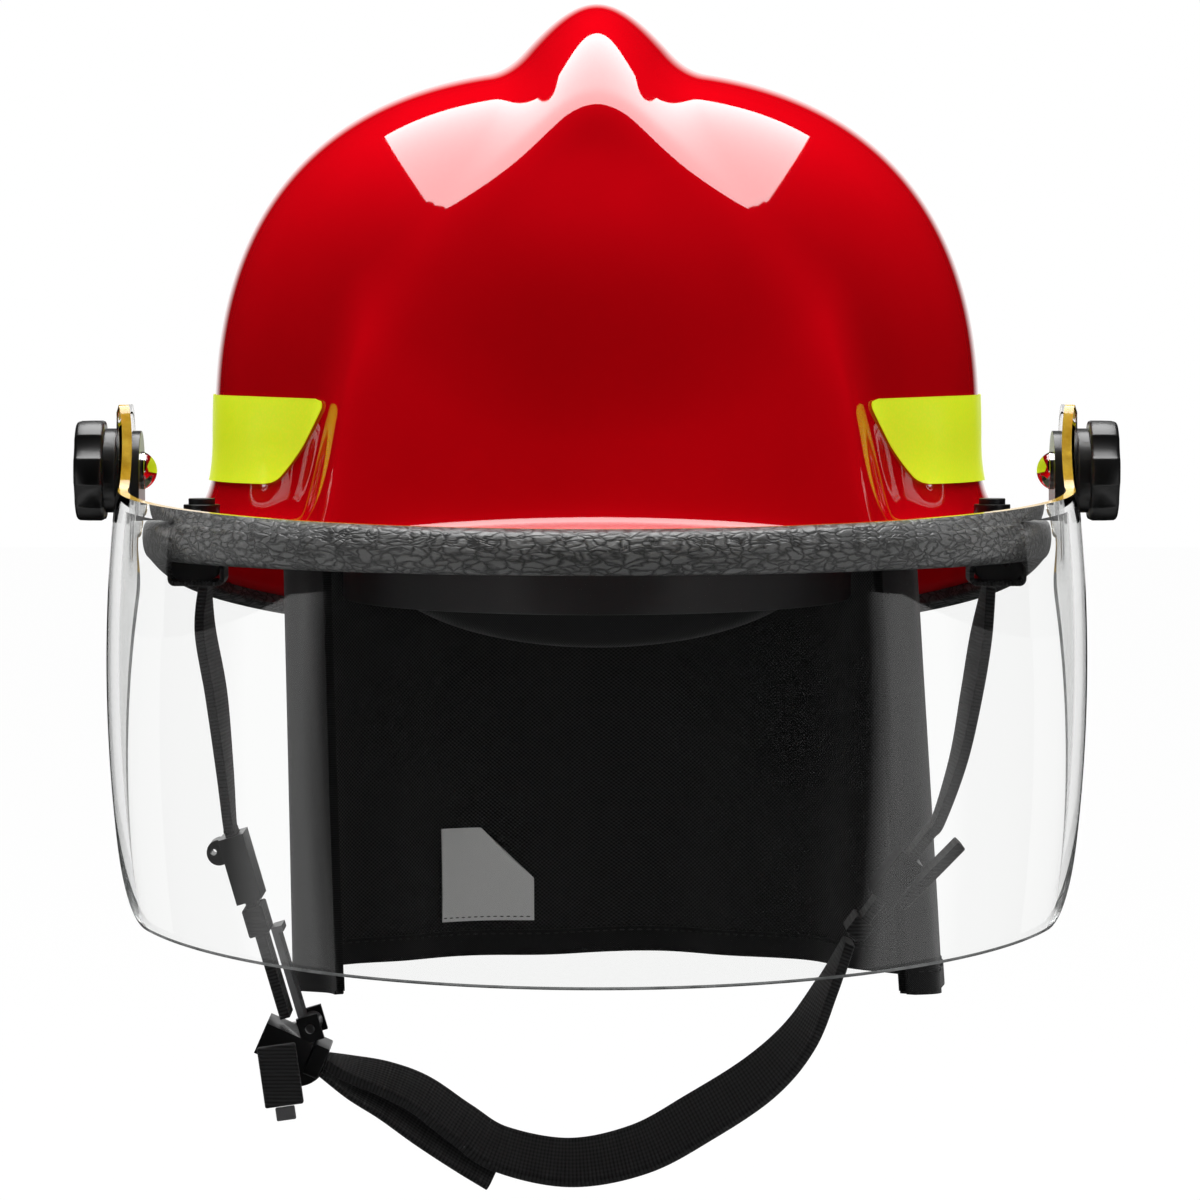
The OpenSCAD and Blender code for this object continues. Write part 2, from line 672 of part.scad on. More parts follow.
// Bracket: an upright round the bolt, a foot over the trim and a boss on the brim
module bracket(side) color([0.06, 0.06, 0.06]) {
    plate_x = ear_x - lens_t - run_gap;
    foot_z = bracket_foot_z;
    difference() {
        mirror([side < 0 ? 1 : 0, 0, 0]) {
            translate([plate_x, -pivot_front, 0]) rotate([90, 0, 90])
                translate([0, 0, -bracket_t]) linear_extrude(bracket_t) union() {
                    translate([0, pivot_z]) circle(d = bracket_w);
                    translate([-bracket_w / 2, foot_z]) square([bracket_w, pivot_z - foot_z]);
                }
            translate([bracket_screw_x, -pivot_front - foot_w / 2, foot_z])
                cube([plate_x - bracket_screw_x - 1, foot_w, foot_t]);
            translate([bracket_screw_x, -pivot_front, foot_z]) cylinder(d = boss_d, h = boss_h);
            translate([bracket_screw_x, -pivot_front, bracket_seat_z])
                cylinder(d = boss_neck_d, h = foot_z - bracket_seat_z + 1);
        }
        at_pivot(side) translate([0, 0, -20]) cylinder(d = bolt_d, h = 30);
        translate([side * bracket_screw_x, -pivot_front, bracket_seat_z - 1])
            cylinder(d = screw_d, h = 30);
    }
}
module pivot_bracket_left() bracket(-1);
module pivot_bracket_right() bracket(1);

// Screws down through the brackets and the brim, each in a nut below it
module bracket_screws() color([0.1, 0.1, 0.1])
    for (side = [-1, 1]) translate([side * bracket_screw_x, -pivot_front, 0]) {
        head_z = bracket_foot_z + boss_h;
        translate([0, 0, head_z]) cylinder(d = 2 * screw_d, h = screw_head_h);
        translate([0, 0, nut_z - nut_h]) cylinder(d = screw_d, h = head_z + 0.5 - nut_z + nut_h);
        translate([0, 0, nut_z - nut_h]) rotate([0, 0, 30])
            cylinder(d = 1.7 * screw_d, h = nut_h, $fn = 6);
    }

// Foam liner: a dome inside the shell with a short skirt below the dome base
function liner_rows(inset) = concat(
    [[for (c = [0:liner_cols - 1]) let (p = liner_point(c, 0, inset))
        [p[0], p[1], liner_low_z]]],
    [for (r = [0:liner_dome_rows - 1])
        [for (c = [0:liner_cols - 1]) liner_point(c, 90 * r / liner_dome_rows, inset)]]);
function liner_point(c, lift, inset) =
    let (d = ray(c * 360 / liner_cols, lift))
    [0, dome_y, dome_base_z] + d * dome_dist(d, inset);

module impact_liner() color([0.12, 0.12, 0.12]) {
    insets = [shell_wall + liner_gap, shell_wall + liner_gap + liner_t];
    rows = liner_dome_rows + 1;
    n = rows * liner_cols;
    pts = [for (inset = insets) each concat([for (r = liner_rows(inset)) each r],
        [liner_point(0, 90, inset)])];
    skin_faces = concat(
        [for (r = [0:rows - 2], c = [0:liner_cols - 1], k = [0, 1])
            let (a = r * liner_cols + c, b = r * liner_cols + (c + 1) % liner_cols)
            k == 0 ? [a, a + liner_cols, b + liner_cols] : [a, b + liner_cols, b]],
        [for (c = [0:liner_cols - 1])
            [n - liner_cols + c, n, n - liner_cols + (c + 1) % liner_cols]]);
    under = [for (f = skin_faces) [f[2] + n + 1, f[1] + n + 1, f[0] + n + 1]];
    rim = [for (c = [0:liner_cols - 1], k = [0, 1])
        let (a = c, b = (c + 1) % liner_cols)
        k == 0 ? [a, b, b + n + 1] : [a, b + n + 1, a + n + 1]];
    polyhedron(points = pts, faces = concat(skin_faces, under, rim));
}

// Headband outline: half an ellipse in front of band_mid_y and half a circle behind it
function band_xy(bearing, grow) =
    let (a = band_half_w + grow, b = band_front + band_mid_y + grow)
    cos(bearing) > 0
    ? let (r = 1 / norm([sin(bearing) / a, cos(bearing) / b]))
        [r * sin(bearing), band_mid_y - r * cos(bearing)]
    : [a * sin(bearing), band_mid_y - a * cos(bearing)];
function arc_band(from, to, inner, outer, steps) = concat(
    [for (i = [0:steps]) band_xy(mix(from, to, i / steps), outer)],
    [for (i = [steps:-1:0]) band_xy(mix(from, to, i / steps), inner)]);

module headband() color([0.08, 0.08, 0.08]) translate([0, 0, -band_h / 2])
    linear_extrude(band_h)
        polygon(arc_band(-band_end, band_end, 0, band_t, 48));

module brow_pad() color([0.15, 0.15, 0.15]) translate([0, 0, -band_h / 2 + brow_pad_in])
    linear_extrude(band_h - 2 * brow_pad_in) polygon(arc_band(-brow_pad_half, brow_pad_half,
        -run_gap - brow_pad_t, -run_gap, 30));

// Distance from the crown's axis to the headband along a turn from the front
function band_hit(turn, a, b) =
    let (c = crown_y - band_mid_y, p = sq(sin(turn) / a) + sq(cos(turn) / b))
    let (q = c * cos(turn) / sq(b))
    (q + sqrt(sq(q) - p * (sq(c / b) - 1))) / p;
function band_reach(turn, grow) =
    let (a = band_half_w + grow, ahead = band_hit(turn, a, band_front + band_mid_y + grow))
    crown_y - ahead * cos(turn) < band_mid_y ? ahead : band_hit(turn, a, a);

// Crown webbing: three arcs through one crown point, sewn together there
module crown_arc(bearing) {
    ahead = band_reach(bearing, 0);
    back = band_reach(bearing + 180, 0);
    rise = crown_z - crown_foot_z;
    outline = concat(
        [for (i = [0:crown_steps]) let (a = i * 180 / crown_steps)
            [(a < 90 ? ahead : back) * cos(a), rise * sin(a)]],
        [for (i = [crown_steps:-1:0]) let (a = i * 180 / crown_steps)
            [((a < 90 ? ahead : back) - web_t) * cos(a), (rise - web_t) * sin(a)]]);
    translate([0, crown_y, crown_foot_z]) rotate([0, 0, bearing - 90]) rotate([90, 0, 0])
        linear_extrude(crown_web_w, center = true) polygon(outline);
}
module crown_straps() color([0.1, 0.1, 0.1]) for (turn = crown_turns) crown_arc(turn);

// Clips under the liner's rim: each has an arm over the headband and a tongue outside it
module suspension_clips() color([0.05, 0.05, 0.05]) for (turn = clip_turns) {
    reach = band_reach(turn, band_t + run_gap);
    p = [reach * sin(turn), crown_y - reach * cos(turn), 0];
    b = p[1] < band_mid_y ? band_front + band_mid_y : band_half_w;
    square_on = atan2((p[1] - band_mid_y) / sq(b), p[0] / sq(band_half_w));
    outward = unit(p - [0, dome_y, 0]);
    rim = dome_dist(outward, shell_wall + liner_gap + liner_t) - norm(p - [0, dome_y, 0]);
    tuck = band_t + run_gap + clip_tuck;
    translate([p[0], p[1], clip_arm_z]) rotate([0, 0, atan2(outward[1], outward[0])])
        translate([-tuck, -clip_w / 2, 0])
            cube([tuck + rim + clip_lap, clip_w, clip_top_z - clip_arm_z]);
    translate([p[0], p[1], clip_low_z]) rotate([0, 0, square_on]) translate([0, -clip_w / 2, 0])
        cube([clip_t, clip_w, clip_arm_z - clip_low_z + 1]);
}

// Ratchet at the nape
module nape_frame() translate([0, band_mid_y, ratchet_z]) children();
module sector(inner, outer, low, high, half) rotate([0, 0, 90 - half])
    rotate_extrude(angle = 2 * half) translate([inner, low]) square([outer - inner, high - low]);

module tail(side) color([0.7, 0.7, 0.7]) nape_frame() {
    low = side < 0 ? pinion_r + run_gap : -pinion_r - run_gap - tail_h;
    mid = side * (tail_reach - tail_lap) / 2;
    rotate([0, 0, -mid]) sector(band_half_w + band_t + run_gap,
        band_half_w + band_t + run_gap + tail_t, low, low + tail_h, (tail_reach + tail_lap) / 2);
}
module band_tail_left() tail(-1);
module band_tail_right() tail(1);

module ratchet_housing() color([0.05, 0.05, 0.05]) difference() {
    nape_frame() sector(house_in, house_out, -house_h / 2, house_h / 2, house_half);
    nape_frame() sector(house_in + house_wall_in, house_out - house_wall_out,
        -tail_h - pinion_r - house_room, tail_h + pinion_r + house_room, house_half + 1);
    nape_frame() translate([0, house_out - 2 * house_wall_out, 0]) rotate([-90, 0, 0])
        cylinder(d = shaft_d + 2 * shaft_gap, h = 4 * house_wall_out);
}
module ratchet_pinion() color([0.6, 0.6, 0.6]) nape_frame()
    translate([0, house_in + house_wall_in + run_gap, 0]) rotate([-90, 0, 0])
        linear_extrude(house_out - house_in - house_wall_in - house_wall_out - 2 * run_gap)
            polygon([for (i = [0:23]) let (r = i % 2 == 0 ? pinion_r : pinion_r - pinion_tooth)
                r * [cos(15 * i), sin(15 * i)]]);
module ratchet_knob() color([0.07, 0.07, 0.07]) nape_frame()
    translate([0, house_out, 0]) rotate([-90, 0, 0]) {
        translate([0, 0, -house_wall_out - run_gap])
            cylinder(d = shaft_d, h = house_wall_out + 4 * run_gap);
        translate([0, 0, run_gap]) difference() {
            cylinder(d = ratchet_d, h = ratchet_knob_t);
            for (i = [0:grips - 1]) rotate([0, 0, 360 * i / grips])
                translate([ratchet_d / 2 + 1, 0, -1]) cylinder(d = grip_d, h = through);
        }
    }

// Padded apron below the back of the headband, with a crescent lower edge
module nape_pad() color([0.1, 0.1, 0.1]) {
    rows = [for (grow = [-run_gap, -run_gap - nape_pad_t]) [for (r = [0:4])
        [for (c = [0:20])
            let (u = c / 10 - 1, q = band_xy(180 + nape_pad_half * u, grow))
            let (low = -band_h / 2 - nape_pad_end_drop - nape_pad_drop * (1 - sq(u)))
            [q[0], q[1], mix(low, -band_h / 2 + nape_pad_lap, r / 4)]]]];
    slab(rows[0], rows[1]);
}

// Neck cover: a curtain from the left front edge round the back to the right front edge.
// Across runs from -1 to 1 and down from 0 at the top to 1 at the hem
function cover_plan(across, out) =
    let (turn = abs(across) * cover_turn, c = pow(abs(sin(turn)), 2 / cover_power))
    let (s = pow(abs(cos(turn)), 2 / cover_power) * sign(cos(turn)))
    let (reach = s < 0 ? cover_front : cover_rear - cover_mid_y)
    [sign(across) * (cover_half_w + out) * c, cover_mid_y + (reach + out) * s];
function cover_fold(across, down) =
    fold_depth * down * (sin(across * 540 + 20) * (1 - abs(across)) + 0.6 * sin(across * 1260));
function cover_hem(across) = cover_drop + cover_corner_drop * ease((abs(across) - 0.35) / 0.5);
function cover_point(across, down, off) =
    let (lean = (across < 0 ? cover_lean_left : cover_lean_right) * down
        * ease(abs(across) * 2 - 0.6))
    let (q = cover_plan(across, cover_fold(across, down) + off))
    [q[0] + lean, q[1], mix(cover_top_z, -cover_hem(across), down)];
module neck_cover() color([0.13, 0.13, 0.13]) {
    sheets = [for (off = [cover_t / 2, -cover_t / 2]) [for (r = [0:cover_rows])
        [for (c = [0:cover_cols])
            cover_point(2 * c / cover_cols - 1, 1 - r / cover_rows, off)]]];
    slab(sheets[1], sheets[0]);
}
// Studs that hold the top edge of the neck cover
module cover_snaps() color([0.3, 0.3, 0.3]) for (a = snap_marks) {
    p = cover_point(a, snap_down, -cover_t / 2 - snap_gap);
    q = cover_point(a + 0.01, snap_down, -cover_t / 2 - snap_gap);
    translate(p) rotate([90, 0, atan2(q[1] - p[1], q[0] - p[0])])
        cylinder(d = snap_d, h = snap_t);
}
// Blank care label, sewn above the hem on the inner side of the cloth
module care_label() color([0.75, 0.75, 0.74]) {
    sides = [for (off = [-run_gap, -run_gap - label_t]) [for (r = [0:4]) [for (c = [0:8])
        cover_point(mix(label_mark - label_share, label_mark + label_share, c / 8),
            mix(label_low, label_low - label_h / (cover_drop + cover_top_z), r / 4),
            off - cover_t / 2)]]];
    slab(sides[1], sides[0]);
}

// Smooth curve through chosen points, with a number of steps between each two
function curve_point(a, b, c, d, t) =
    0.5 * (2 * b + (c - a) * t + (2 * a - 5 * b + 4 * c - d) * t * t
    + (3 * b - a - 3 * c + d) * t * t * t);
function curve(points, steps) =
    let (n = len(points))
    concat([for (i = [0:n - 2], k = [0:steps - 1])
        curve_point(points[max(0, i - 1)], points[i], points[i + 1], points[min(n - 1, i + 2)],
            k / steps)], [points[n - 1]]);

// Webbing along route points that each hold x, y, z and a twist away from the depth axis
module webbing(route, steps, width, thick) {
    points = curve(route, steps);
    n = len(points);
    rings = [for (i = [0:n - 1])
        let (p = [points[i][0], points[i][1], points[i][2]])
        let (a = points[max(0, i - 1)], b = points[min(n - 1, i + 1)])
        let (t = unit([b[0] - a[0], b[1] - a[1], b[2] - a[2]]), e = unit([t[2], 0, -t[0]]))
        let (w = cos(points[i][3]) * [0, 1, 0] + sin(points[i][3]) * e, f = cross(t, w))
        [p + w * width / 2 + f * thick / 2, p - w * width / 2 + f * thick / 2,
         p - w * width / 2 - f * thick / 2, p + w * width / 2 - f * thick / 2]];
    side = [for (r = [0:n - 2], c = [0:3], k = [0, 1])
        let (a = r * 4 + c, b = r * 4 + (c + 1) % 4)
        k == 0 ? [a, b + 4, b] : [a, a + 4, b + 4]];
    polyhedron(points = [for (r = rings) each r],
        faces = concat(side, [[0, 1, 2], [0, 2, 3]], [for (q = [[0, 2, 1], [0, 3, 2]])
            [for (v = q) v + 4 * (n - 1)]]));
}

// Hangers under the sides of the brim, each with a bar that the webbing loops round
module hanger(side) color([0.07, 0.07, 0.07]) difference() {
    mirror([side < 0 ? 1 : 0, 0, 0]) translate([0, strap_y + hanger_l / 2, 0])
        rotate([90, 0, 0]) linear_extrude(hanger_l)
            polygon(concat(hanger_roof, [[hanger_in, hanger_low_z + hanger_round],
                [hanger_in + hanger_round, hanger_low_z],
                [hanger_out - hanger_round, hanger_low_z],
                [hanger_out, hanger_low_z + hanger_round]]));
    translate([side * hanger_in, strap_y, hanger_low_z + hanger_bar_h + hanger_slot_h / 2])
        cube([2 * through, web_w + 2 * run_gap, hanger_slot_h], center = true);
    for (end = [-1, 1]) at_rivet(side, end) cylinder(d = rivet_d, h = through, center = true);
}
module strap_hanger_left() hanger(-1);
module strap_hanger_right() hanger(1);

// Rivets through the brim and the hangers; +Z goes up through the brim
module at_rivet(side, end) translate([side * rivet_at[0], strap_y + end * rivet_gap, rivet_at[2]])
    children();
module hanger_rivets() color([0.6, 0.6, 0.6]) for (side = [-1, 1], end = [-1, 1])
    at_rivet(side, end) {
        translate([0, 0, -shell_wall - 5]) cylinder(d = rivet_d, h = shell_wall + 8);
        translate([0, 0, 2.6]) cylinder(d = 1.8 * rivet_d, h = 1.4);
    }

// Upper straps, each looped round its hanger's bar
module upper_strap(side, route) color([0.1, 0.1, 0.1]) {
    webbing([for (q = route) [side * (q[0] + strap_shift), strap_y, q[2], side * q[3]]],
        4, web_w, 2 * web_t);
    wide = hanger_out - hanger_in + 2 * run_gap;
    tall = hanger_bar_h + 2 * run_gap;
    translate([side * (hanger_in + hanger_out) / 2, strap_y, hanger_low_z + hanger_bar_h / 2])
        difference() {
            cube([wide + 2 * web_t, web_w, tall + 2 * web_t], center = true);
            cube([wide, web_w + 2, tall], center = true);
        }
}
module upper_strap_left() upper_strap(-1, left_route);
module upper_strap_right() upper_strap(1, right_route);

// Left fittings: +X to the right, +Z up along the strap
module at_fitting() translate([fitting_x, strap_y, fitting_z]) rotate([0, -fitting_lean, 0])
    children();
// A closed band round the webbing, seen along it
module band_round(low, high, wall, room) difference() {
    w = web_w / 2 + room + wall;
    t = web_t + room + wall;
    translate([-t, -w, low]) cube([2 * t, 2 * w, high - low]);
    translate([wall - t, wall - w, low - 1])
        cube([2 * (t - wall), 2 * (w - wall), high - low + 2]);
}
module strap_guide() color([0.07, 0.07, 0.07]) at_fitting() difference() {
    union() {
        band_round(-guide_l, 1, guide_wall, run_gap);
        translate([hook_x, 0, hook_z]) rotate([90, 0, 0])
            cylinder(d = hook_d, h = hook_w, center = true);
    }
    translate([hook_hole_x, 0, hook_hole_z]) rotate([90, 0, 0])
        cylinder(d = hook_hole_d, h = through, center = true);
    translate([-web_t - run_gap, -web_w / 2 - run_gap, -guide_l - 1])
        cube([2 * (web_t + run_gap), web_w + 2 * run_gap, guide_l + 3]);
}
module strap_keeper_left() color([0.12, 0.12, 0.12]) at_fitting()
    band_round(-guide_l - keeper_gap - keeper_l, -guide_l - keeper_gap, keeper_wall, run_gap);

// Grey release lever beside the webbing, on a pin through the buckle's cheeks
module at_lever() at_fitting() translate([lever_x, 0, lever_z]) children();
module release_lever() color([0.5, 0.5, 0.5]) at_lever() difference() {
    union() {
        rotate([90, 0, 0]) cylinder(r = lever_eye_r, h = plug_w - 2, center = true);
        translate([-lever_eye_r, -lever_w / 2, 0]) cube([lever_t, lever_w, lever_l]);
        translate([-lever_eye_r, -lever_w / 2, lever_l]) cube([lever_lip, lever_w, lever_t]);
    }
    rotate([90, 0, 0]) cylinder(d = pin_d + 2 * shaft_gap, h = through, center = true);
    translate([-2 * lever_eye_r, -lever_window_w / 2, lever_window_z])
        cube([3 * lever_eye_r, lever_window_w, lever_window_l]);
}
module lever_pin() color([0.65, 0.65, 0.65]) at_lever() rotate([90, 0, 0])
    cylinder(d = pin_d, h = socket_w, center = true);

// Socket: a block round the plug, two cheeks that carry the lever's pin, and the disc
module at_plug() translate([socket_x, strap_y, socket_z]) rotate([0, plug_slope, 0]) children();
module buckle_socket() color([0.06, 0.06, 0.06]) difference() {
    union() {
        at_plug() translate([-socket_back, -socket_w / 2, -socket_t / 2])
            cube([socket_back + socket_front, socket_w, socket_t]);
        translate([socket_x + hub_x, strap_y + socket_w / 2 - hub_sink, socket_z + hub_z])
            rotate([-90, 0, 0]) cylinder(d = hub_d, h = hub_h + hub_sink);
        for (side = [-1, 1]) at_lever()
            translate([0, side * (socket_w / 2 - (socket_wall + 1) / 2), 0])
                cube([cheek_w, socket_wall + 1, cheek_l], center = true);
    }
    at_plug() translate([socket_wall - socket_back, -plug_w / 2 - run_gap,
        -plug_t / 2 - run_gap])
        cube([through, plug_w + 2 * run_gap, plug_t + 2 * run_gap]);
    at_lever() rotate([90, 0, 0]) cylinder(d = pin_d, h = 2 * through, center = true);
    at_lever() translate([-lever_eye_r - lever_room, -socket_w / 2 + socket_wall,
        -cheek_l / 2 - run_gap]) cube([through / 2, socket_w - 2 * socket_wall, through]);
    at_fitting() translate([-web_t - run_gap, -web_w / 2 - run_gap, -fitting_strap_l - run_gap])
        cube([2 * web_t + 2 * run_gap, web_w + 2 * run_gap, through]);
}
module buckle_plug() color([0.08, 0.08, 0.08]) at_plug() difference() {
    union() {
        translate([plug_in, -plug_w / 2, -plug_t / 2])
            cube([socket_front + 2 * run_gap - plug_in, plug_w, plug_t]);
        translate([socket_front + run_gap, -socket_w / 2 + 1, -socket_t / 2])
            cube([plug_bar_l, socket_w - 2, socket_t]);
    }
    for (side = [-1, 1])
        translate([plug_in - 1, side * plug_slot_y - plug_slot_w / 2, -plug_t])
            cube([plug_slot_l + 1, plug_slot_w, 2 * plug_t]);
}
module at_tab() translate([socket_x + tab_x, strap_y - socket_w / 2 - run_gap - 2 * web_t,
    socket_z + tab_z]) rotate([0, -tab_lean, 0]) children();
module pull_tab() color([0.12, 0.12, 0.12]) at_tab() cube([tab_w, 2 * web_t, tab_l]);
module tab_tip() color([0.5, 0.5, 0.5]) at_tab()
    translate([(tab_w - tip_w) / 2, web_t - tip_t / 2, -tip_l - run_gap])
        cube([tip_w, tip_t, tip_l]);

// Place of a low route point, whose ends move out with the hangers
function low_place(q) =
    q + [strap_shift * max(-1, min(1, q[0] / lower_route[len(lower_route) - 1][0])), strap_y, 0, 0];
module lower_strap() color([0.1, 0.1, 0.1])
    webbing([for (q = lower_route) low_place(q)], 4, web_w, 2 * web_t);
module strap_tail() color([0.1, 0.1, 0.1])
    webbing([for (q = tail_route) low_place(q)], 4, web_w, web_t);

// Slide on the right: it runs along the straight end of the right upper strap
module at_slide() translate([slide_x, strap_y, slide_z]) rotate([0, slide_lean, 0]) children();
module strap_adjuster() color([0.08, 0.08, 0.08]) at_slide()
    band_round(-slide_l / 2, slide_l / 2, slide_wall, slide_room);
module strap_end() color([0.12, 0.12, 0.12]) at_slide()
    translate([web_t + slide_room + slide_wall + run_gap, -web_w / 2, end_low])
        rotate([0, end_lean, 0]) cube([2 * web_t, web_w, end_l]);
// The keeper stands just below the end of the slide's travel
module strap_keeper_right() color([0.12, 0.12, 0.12]) at_slide() {
    top = -slide_l / 2 - slide_travel - slide_room;
    band_round(top - slide_keeper_l, top, keeper_wall, run_gap);
}

shell();
edge_trim();
patch_front_left();
patch_front_right();
patch_rear_left();
patch_rear_right();
visor_lens();
pivot_bracket_left();
pivot_bracket_right();
pivot_bolt_left();
pivot_bolt_right();
visor_knob_left();
visor_knob_right();
bracket_screws();
impact_liner();
headband();
brow_pad();
crown_straps();
suspension_clips();
band_tail_left();
band_tail_right();
ratchet_housing();
ratchet_pinion();
ratchet_knob();
nape_pad();
neck_cover();
cover_snaps();
care_label();
strap_hanger_left();
strap_hanger_right();
hanger_rivets();
upper_strap_left();
upper_strap_right();
strap_guide();
strap_keeper_left();
release_lever();
lever_pin();
buckle_socket();
buckle_plug();
pull_tab();
tab_tip();
lower_strap();
strap_tail();
strap_adjuster();
strap_end();
strap_keeper_right();
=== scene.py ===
import math
import bmesh
import bpy
import numpy as np
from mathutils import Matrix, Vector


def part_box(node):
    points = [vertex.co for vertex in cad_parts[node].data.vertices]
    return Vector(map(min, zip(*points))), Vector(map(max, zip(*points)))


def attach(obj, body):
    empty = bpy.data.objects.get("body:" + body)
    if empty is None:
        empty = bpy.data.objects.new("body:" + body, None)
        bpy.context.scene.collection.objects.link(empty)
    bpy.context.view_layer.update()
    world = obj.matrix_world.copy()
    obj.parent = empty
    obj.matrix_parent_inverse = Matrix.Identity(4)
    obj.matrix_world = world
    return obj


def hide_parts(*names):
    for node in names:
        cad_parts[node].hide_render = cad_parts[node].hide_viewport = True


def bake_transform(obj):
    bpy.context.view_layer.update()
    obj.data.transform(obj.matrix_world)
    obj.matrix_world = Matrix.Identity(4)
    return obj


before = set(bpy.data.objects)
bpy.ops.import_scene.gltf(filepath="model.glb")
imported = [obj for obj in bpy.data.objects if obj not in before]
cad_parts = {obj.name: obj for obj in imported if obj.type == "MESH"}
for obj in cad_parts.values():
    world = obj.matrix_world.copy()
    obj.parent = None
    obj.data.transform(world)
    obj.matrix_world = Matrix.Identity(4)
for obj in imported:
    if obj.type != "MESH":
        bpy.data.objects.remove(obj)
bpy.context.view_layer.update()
print("frame loaded")

# Sizes in the dictionaries are millimetres, and meshes are made in metres
mm = 0.001


def sq(v):
    # A value times itself
    return v * v


def mix(a, b, s):
    # From a to b by the share s
    return a + (b - a) * s


def ease(v):
    # From 0 to 1 along a cubic that is level at both ends
    v = np.clip(v, 0, 1)
    return v * v * (3 - 2 * v)


def unit(v):
    # Each vector divided by its length
    return v / np.maximum(np.linalg.norm(v, axis=-1, keepdims=True), 1e-9)


def softMin(a, b, k):  # the lower of two distances, rounded over a width k
    return np.minimum(a, b) - sq(np.maximum(k - np.abs(a - b), 0)) / (4 * k)


def softMax(a, b, k):
    # The higher of two distances, rounded likewise
    return -softMin(-a, -b, k)


def points(x, y, z):
    # Places from their three coordinates, in the shape that these share
    return np.stack(np.broadcast_arrays(x, y, z), axis=-1).astype(float)


def fillMesh(name, verts, quads, uv=None, closed=True):
    # Vertices in mm and quads by index. A closed mesh with a negative volume is turned outwards.
    a, b, c, d = (verts[quads[:, k]] for k in range(4))
    volume = (a * (np.cross(b, c) + np.cross(c, d))).sum()
    if closed and volume < 0:
        quads = quads[:, ::-1]
    mesh = bpy.data.meshes.new(name)
    mesh.vertices.add(len(verts))
    mesh.vertices.foreach_set("co", (verts * mm).astype(np.float32).ravel())
    mesh.loops.add(quads.size)
    mesh.polygons.add(len(quads))
    mesh.polygons.foreach_set("loop_start", np.arange(0, quads.size, 4, dtype=np.int32))
    mesh.loops.foreach_set("vertex_index", quads.astype(np.int32).ravel())
    mesh.update(calc_edges=True)
    if uv is not None:
        layer = mesh.uv_layers.new(name="UVMap")
        layer.data.foreach_set("uv", uv[quads.ravel()].astype(np.float32).ravel())
    obj = bpy.data.objects.new(name, mesh)
    bpy.context.scene.collection.objects.link(obj)
    return obj


def shadeSmooth(mesh, sharp):
    # Smooth shading but for edges sharper than an angle
    mesh.polygons.foreach_set("use_smooth", np.ones(len(mesh.polygons), bool))
    mesh.set_sharp_from_angle(angle=math.radians(sharp))


def tidyMesh(obj, merge=0.00001, sharp=35):
    # Merges doubles, drops faces that closed to a line, and shades smooth but for sharp edges.
    work = bmesh.new()
    work.from_mesh(obj.data)
    bmesh.ops.remove_doubles(work, verts=work.verts, dist=merge)
    bmesh.ops.dissolve_degenerate(work, edges=work.edges, dist=merge / 4)
    work.to_mesh(obj.data)
    work.free()
    shadeSmooth(obj.data, sharp)
    return obj


def gridQuads(rows, cols, wrapRows, wrapCols, start=0):
    # One quad between each place of a grid and its next row and column
    r = np.arange(rows if wrapRows else rows - 1)[:, None]
    c = np.arange(cols if wrapCols else cols - 1)[None, :]
    r2, c2 = (r + 1) % rows, (c + 1) % cols
    return start + np.stack([r * cols + c, r * cols + c2, r2 * cols + c2, r2 * cols + c], -1).reshape(-1, 4)


def slabMesh(name, outer, inner, uv=None, sharp=35):
    # A sheet with thickness: two grids of rows by columns, joined round their four edges.
    rows, cols = outer.shape[:2]
    n = rows * cols
    verts = np.concatenate([outer.reshape(-1, 3), inner.reshape(-1, 3)])
    top = gridQuads(rows, cols, False, False)
    grid = np.arange(n).reshape(rows, cols)
    edge = np.concatenate([grid[0], grid[1:, -1], grid[-1, -2::-1], grid[-2:0:-1, 0]])
    after = np.roll(edge, -1)
    side = np.stack([after, edge, edge + n, after + n], -1)
    quads = np.concatenate([top, top[:, ::-1] + n, side])
    both = None if uv is None else np.concatenate([uv.reshape(-1, 2)] * 2)
    obj = fillMesh(name, verts, quads, both)
    obj["innerFrom"], obj["innerTo"] = len(top), 2 * len(top)
    shadeSmooth(obj.data, sharp)
    return obj


def shellMesh(name, rows, sharp=50):
    # Rings that start and end in a pole, such as a bowl's outer wall, rim and inner wall.
    obj = fillMesh(name, rows.reshape(-1, 3), gridQuads(*rows.shape[:2], False, True))
    return tidyMesh(obj, sharp=sharp)


def ringMesh(name, rows, uv=None, sharp=50):
    # Sections carried round a closed path, each section a closed loop.
    obj = fillMesh(name, rows.reshape(-1, 3), gridQuads(*rows.shape[:2], True, True), uv)
    shadeSmooth(obj.data, sharp)
    return obj


def roundedBar(width, height, corner, steps=5):
    # Outline of a bar's section: four corners, each a quarter circle, as points across and up.
    turn = np.radians(np.linspace(0, 90, steps))
    arc = np.stack([np.cos(turn), np.sin(turn)], -1) * corner
    out = []
    for k, (sx, sy) in enumerate([(1, 1), (-1, 1), (-1, -1), (1, -1)]):
        a = arc if k % 2 == 0 else arc[::-1]
        out.append(np.array([sx, sy]) * (a + [width / 2 - corner, height / 2 - corner]))
    return np.concatenate(out)


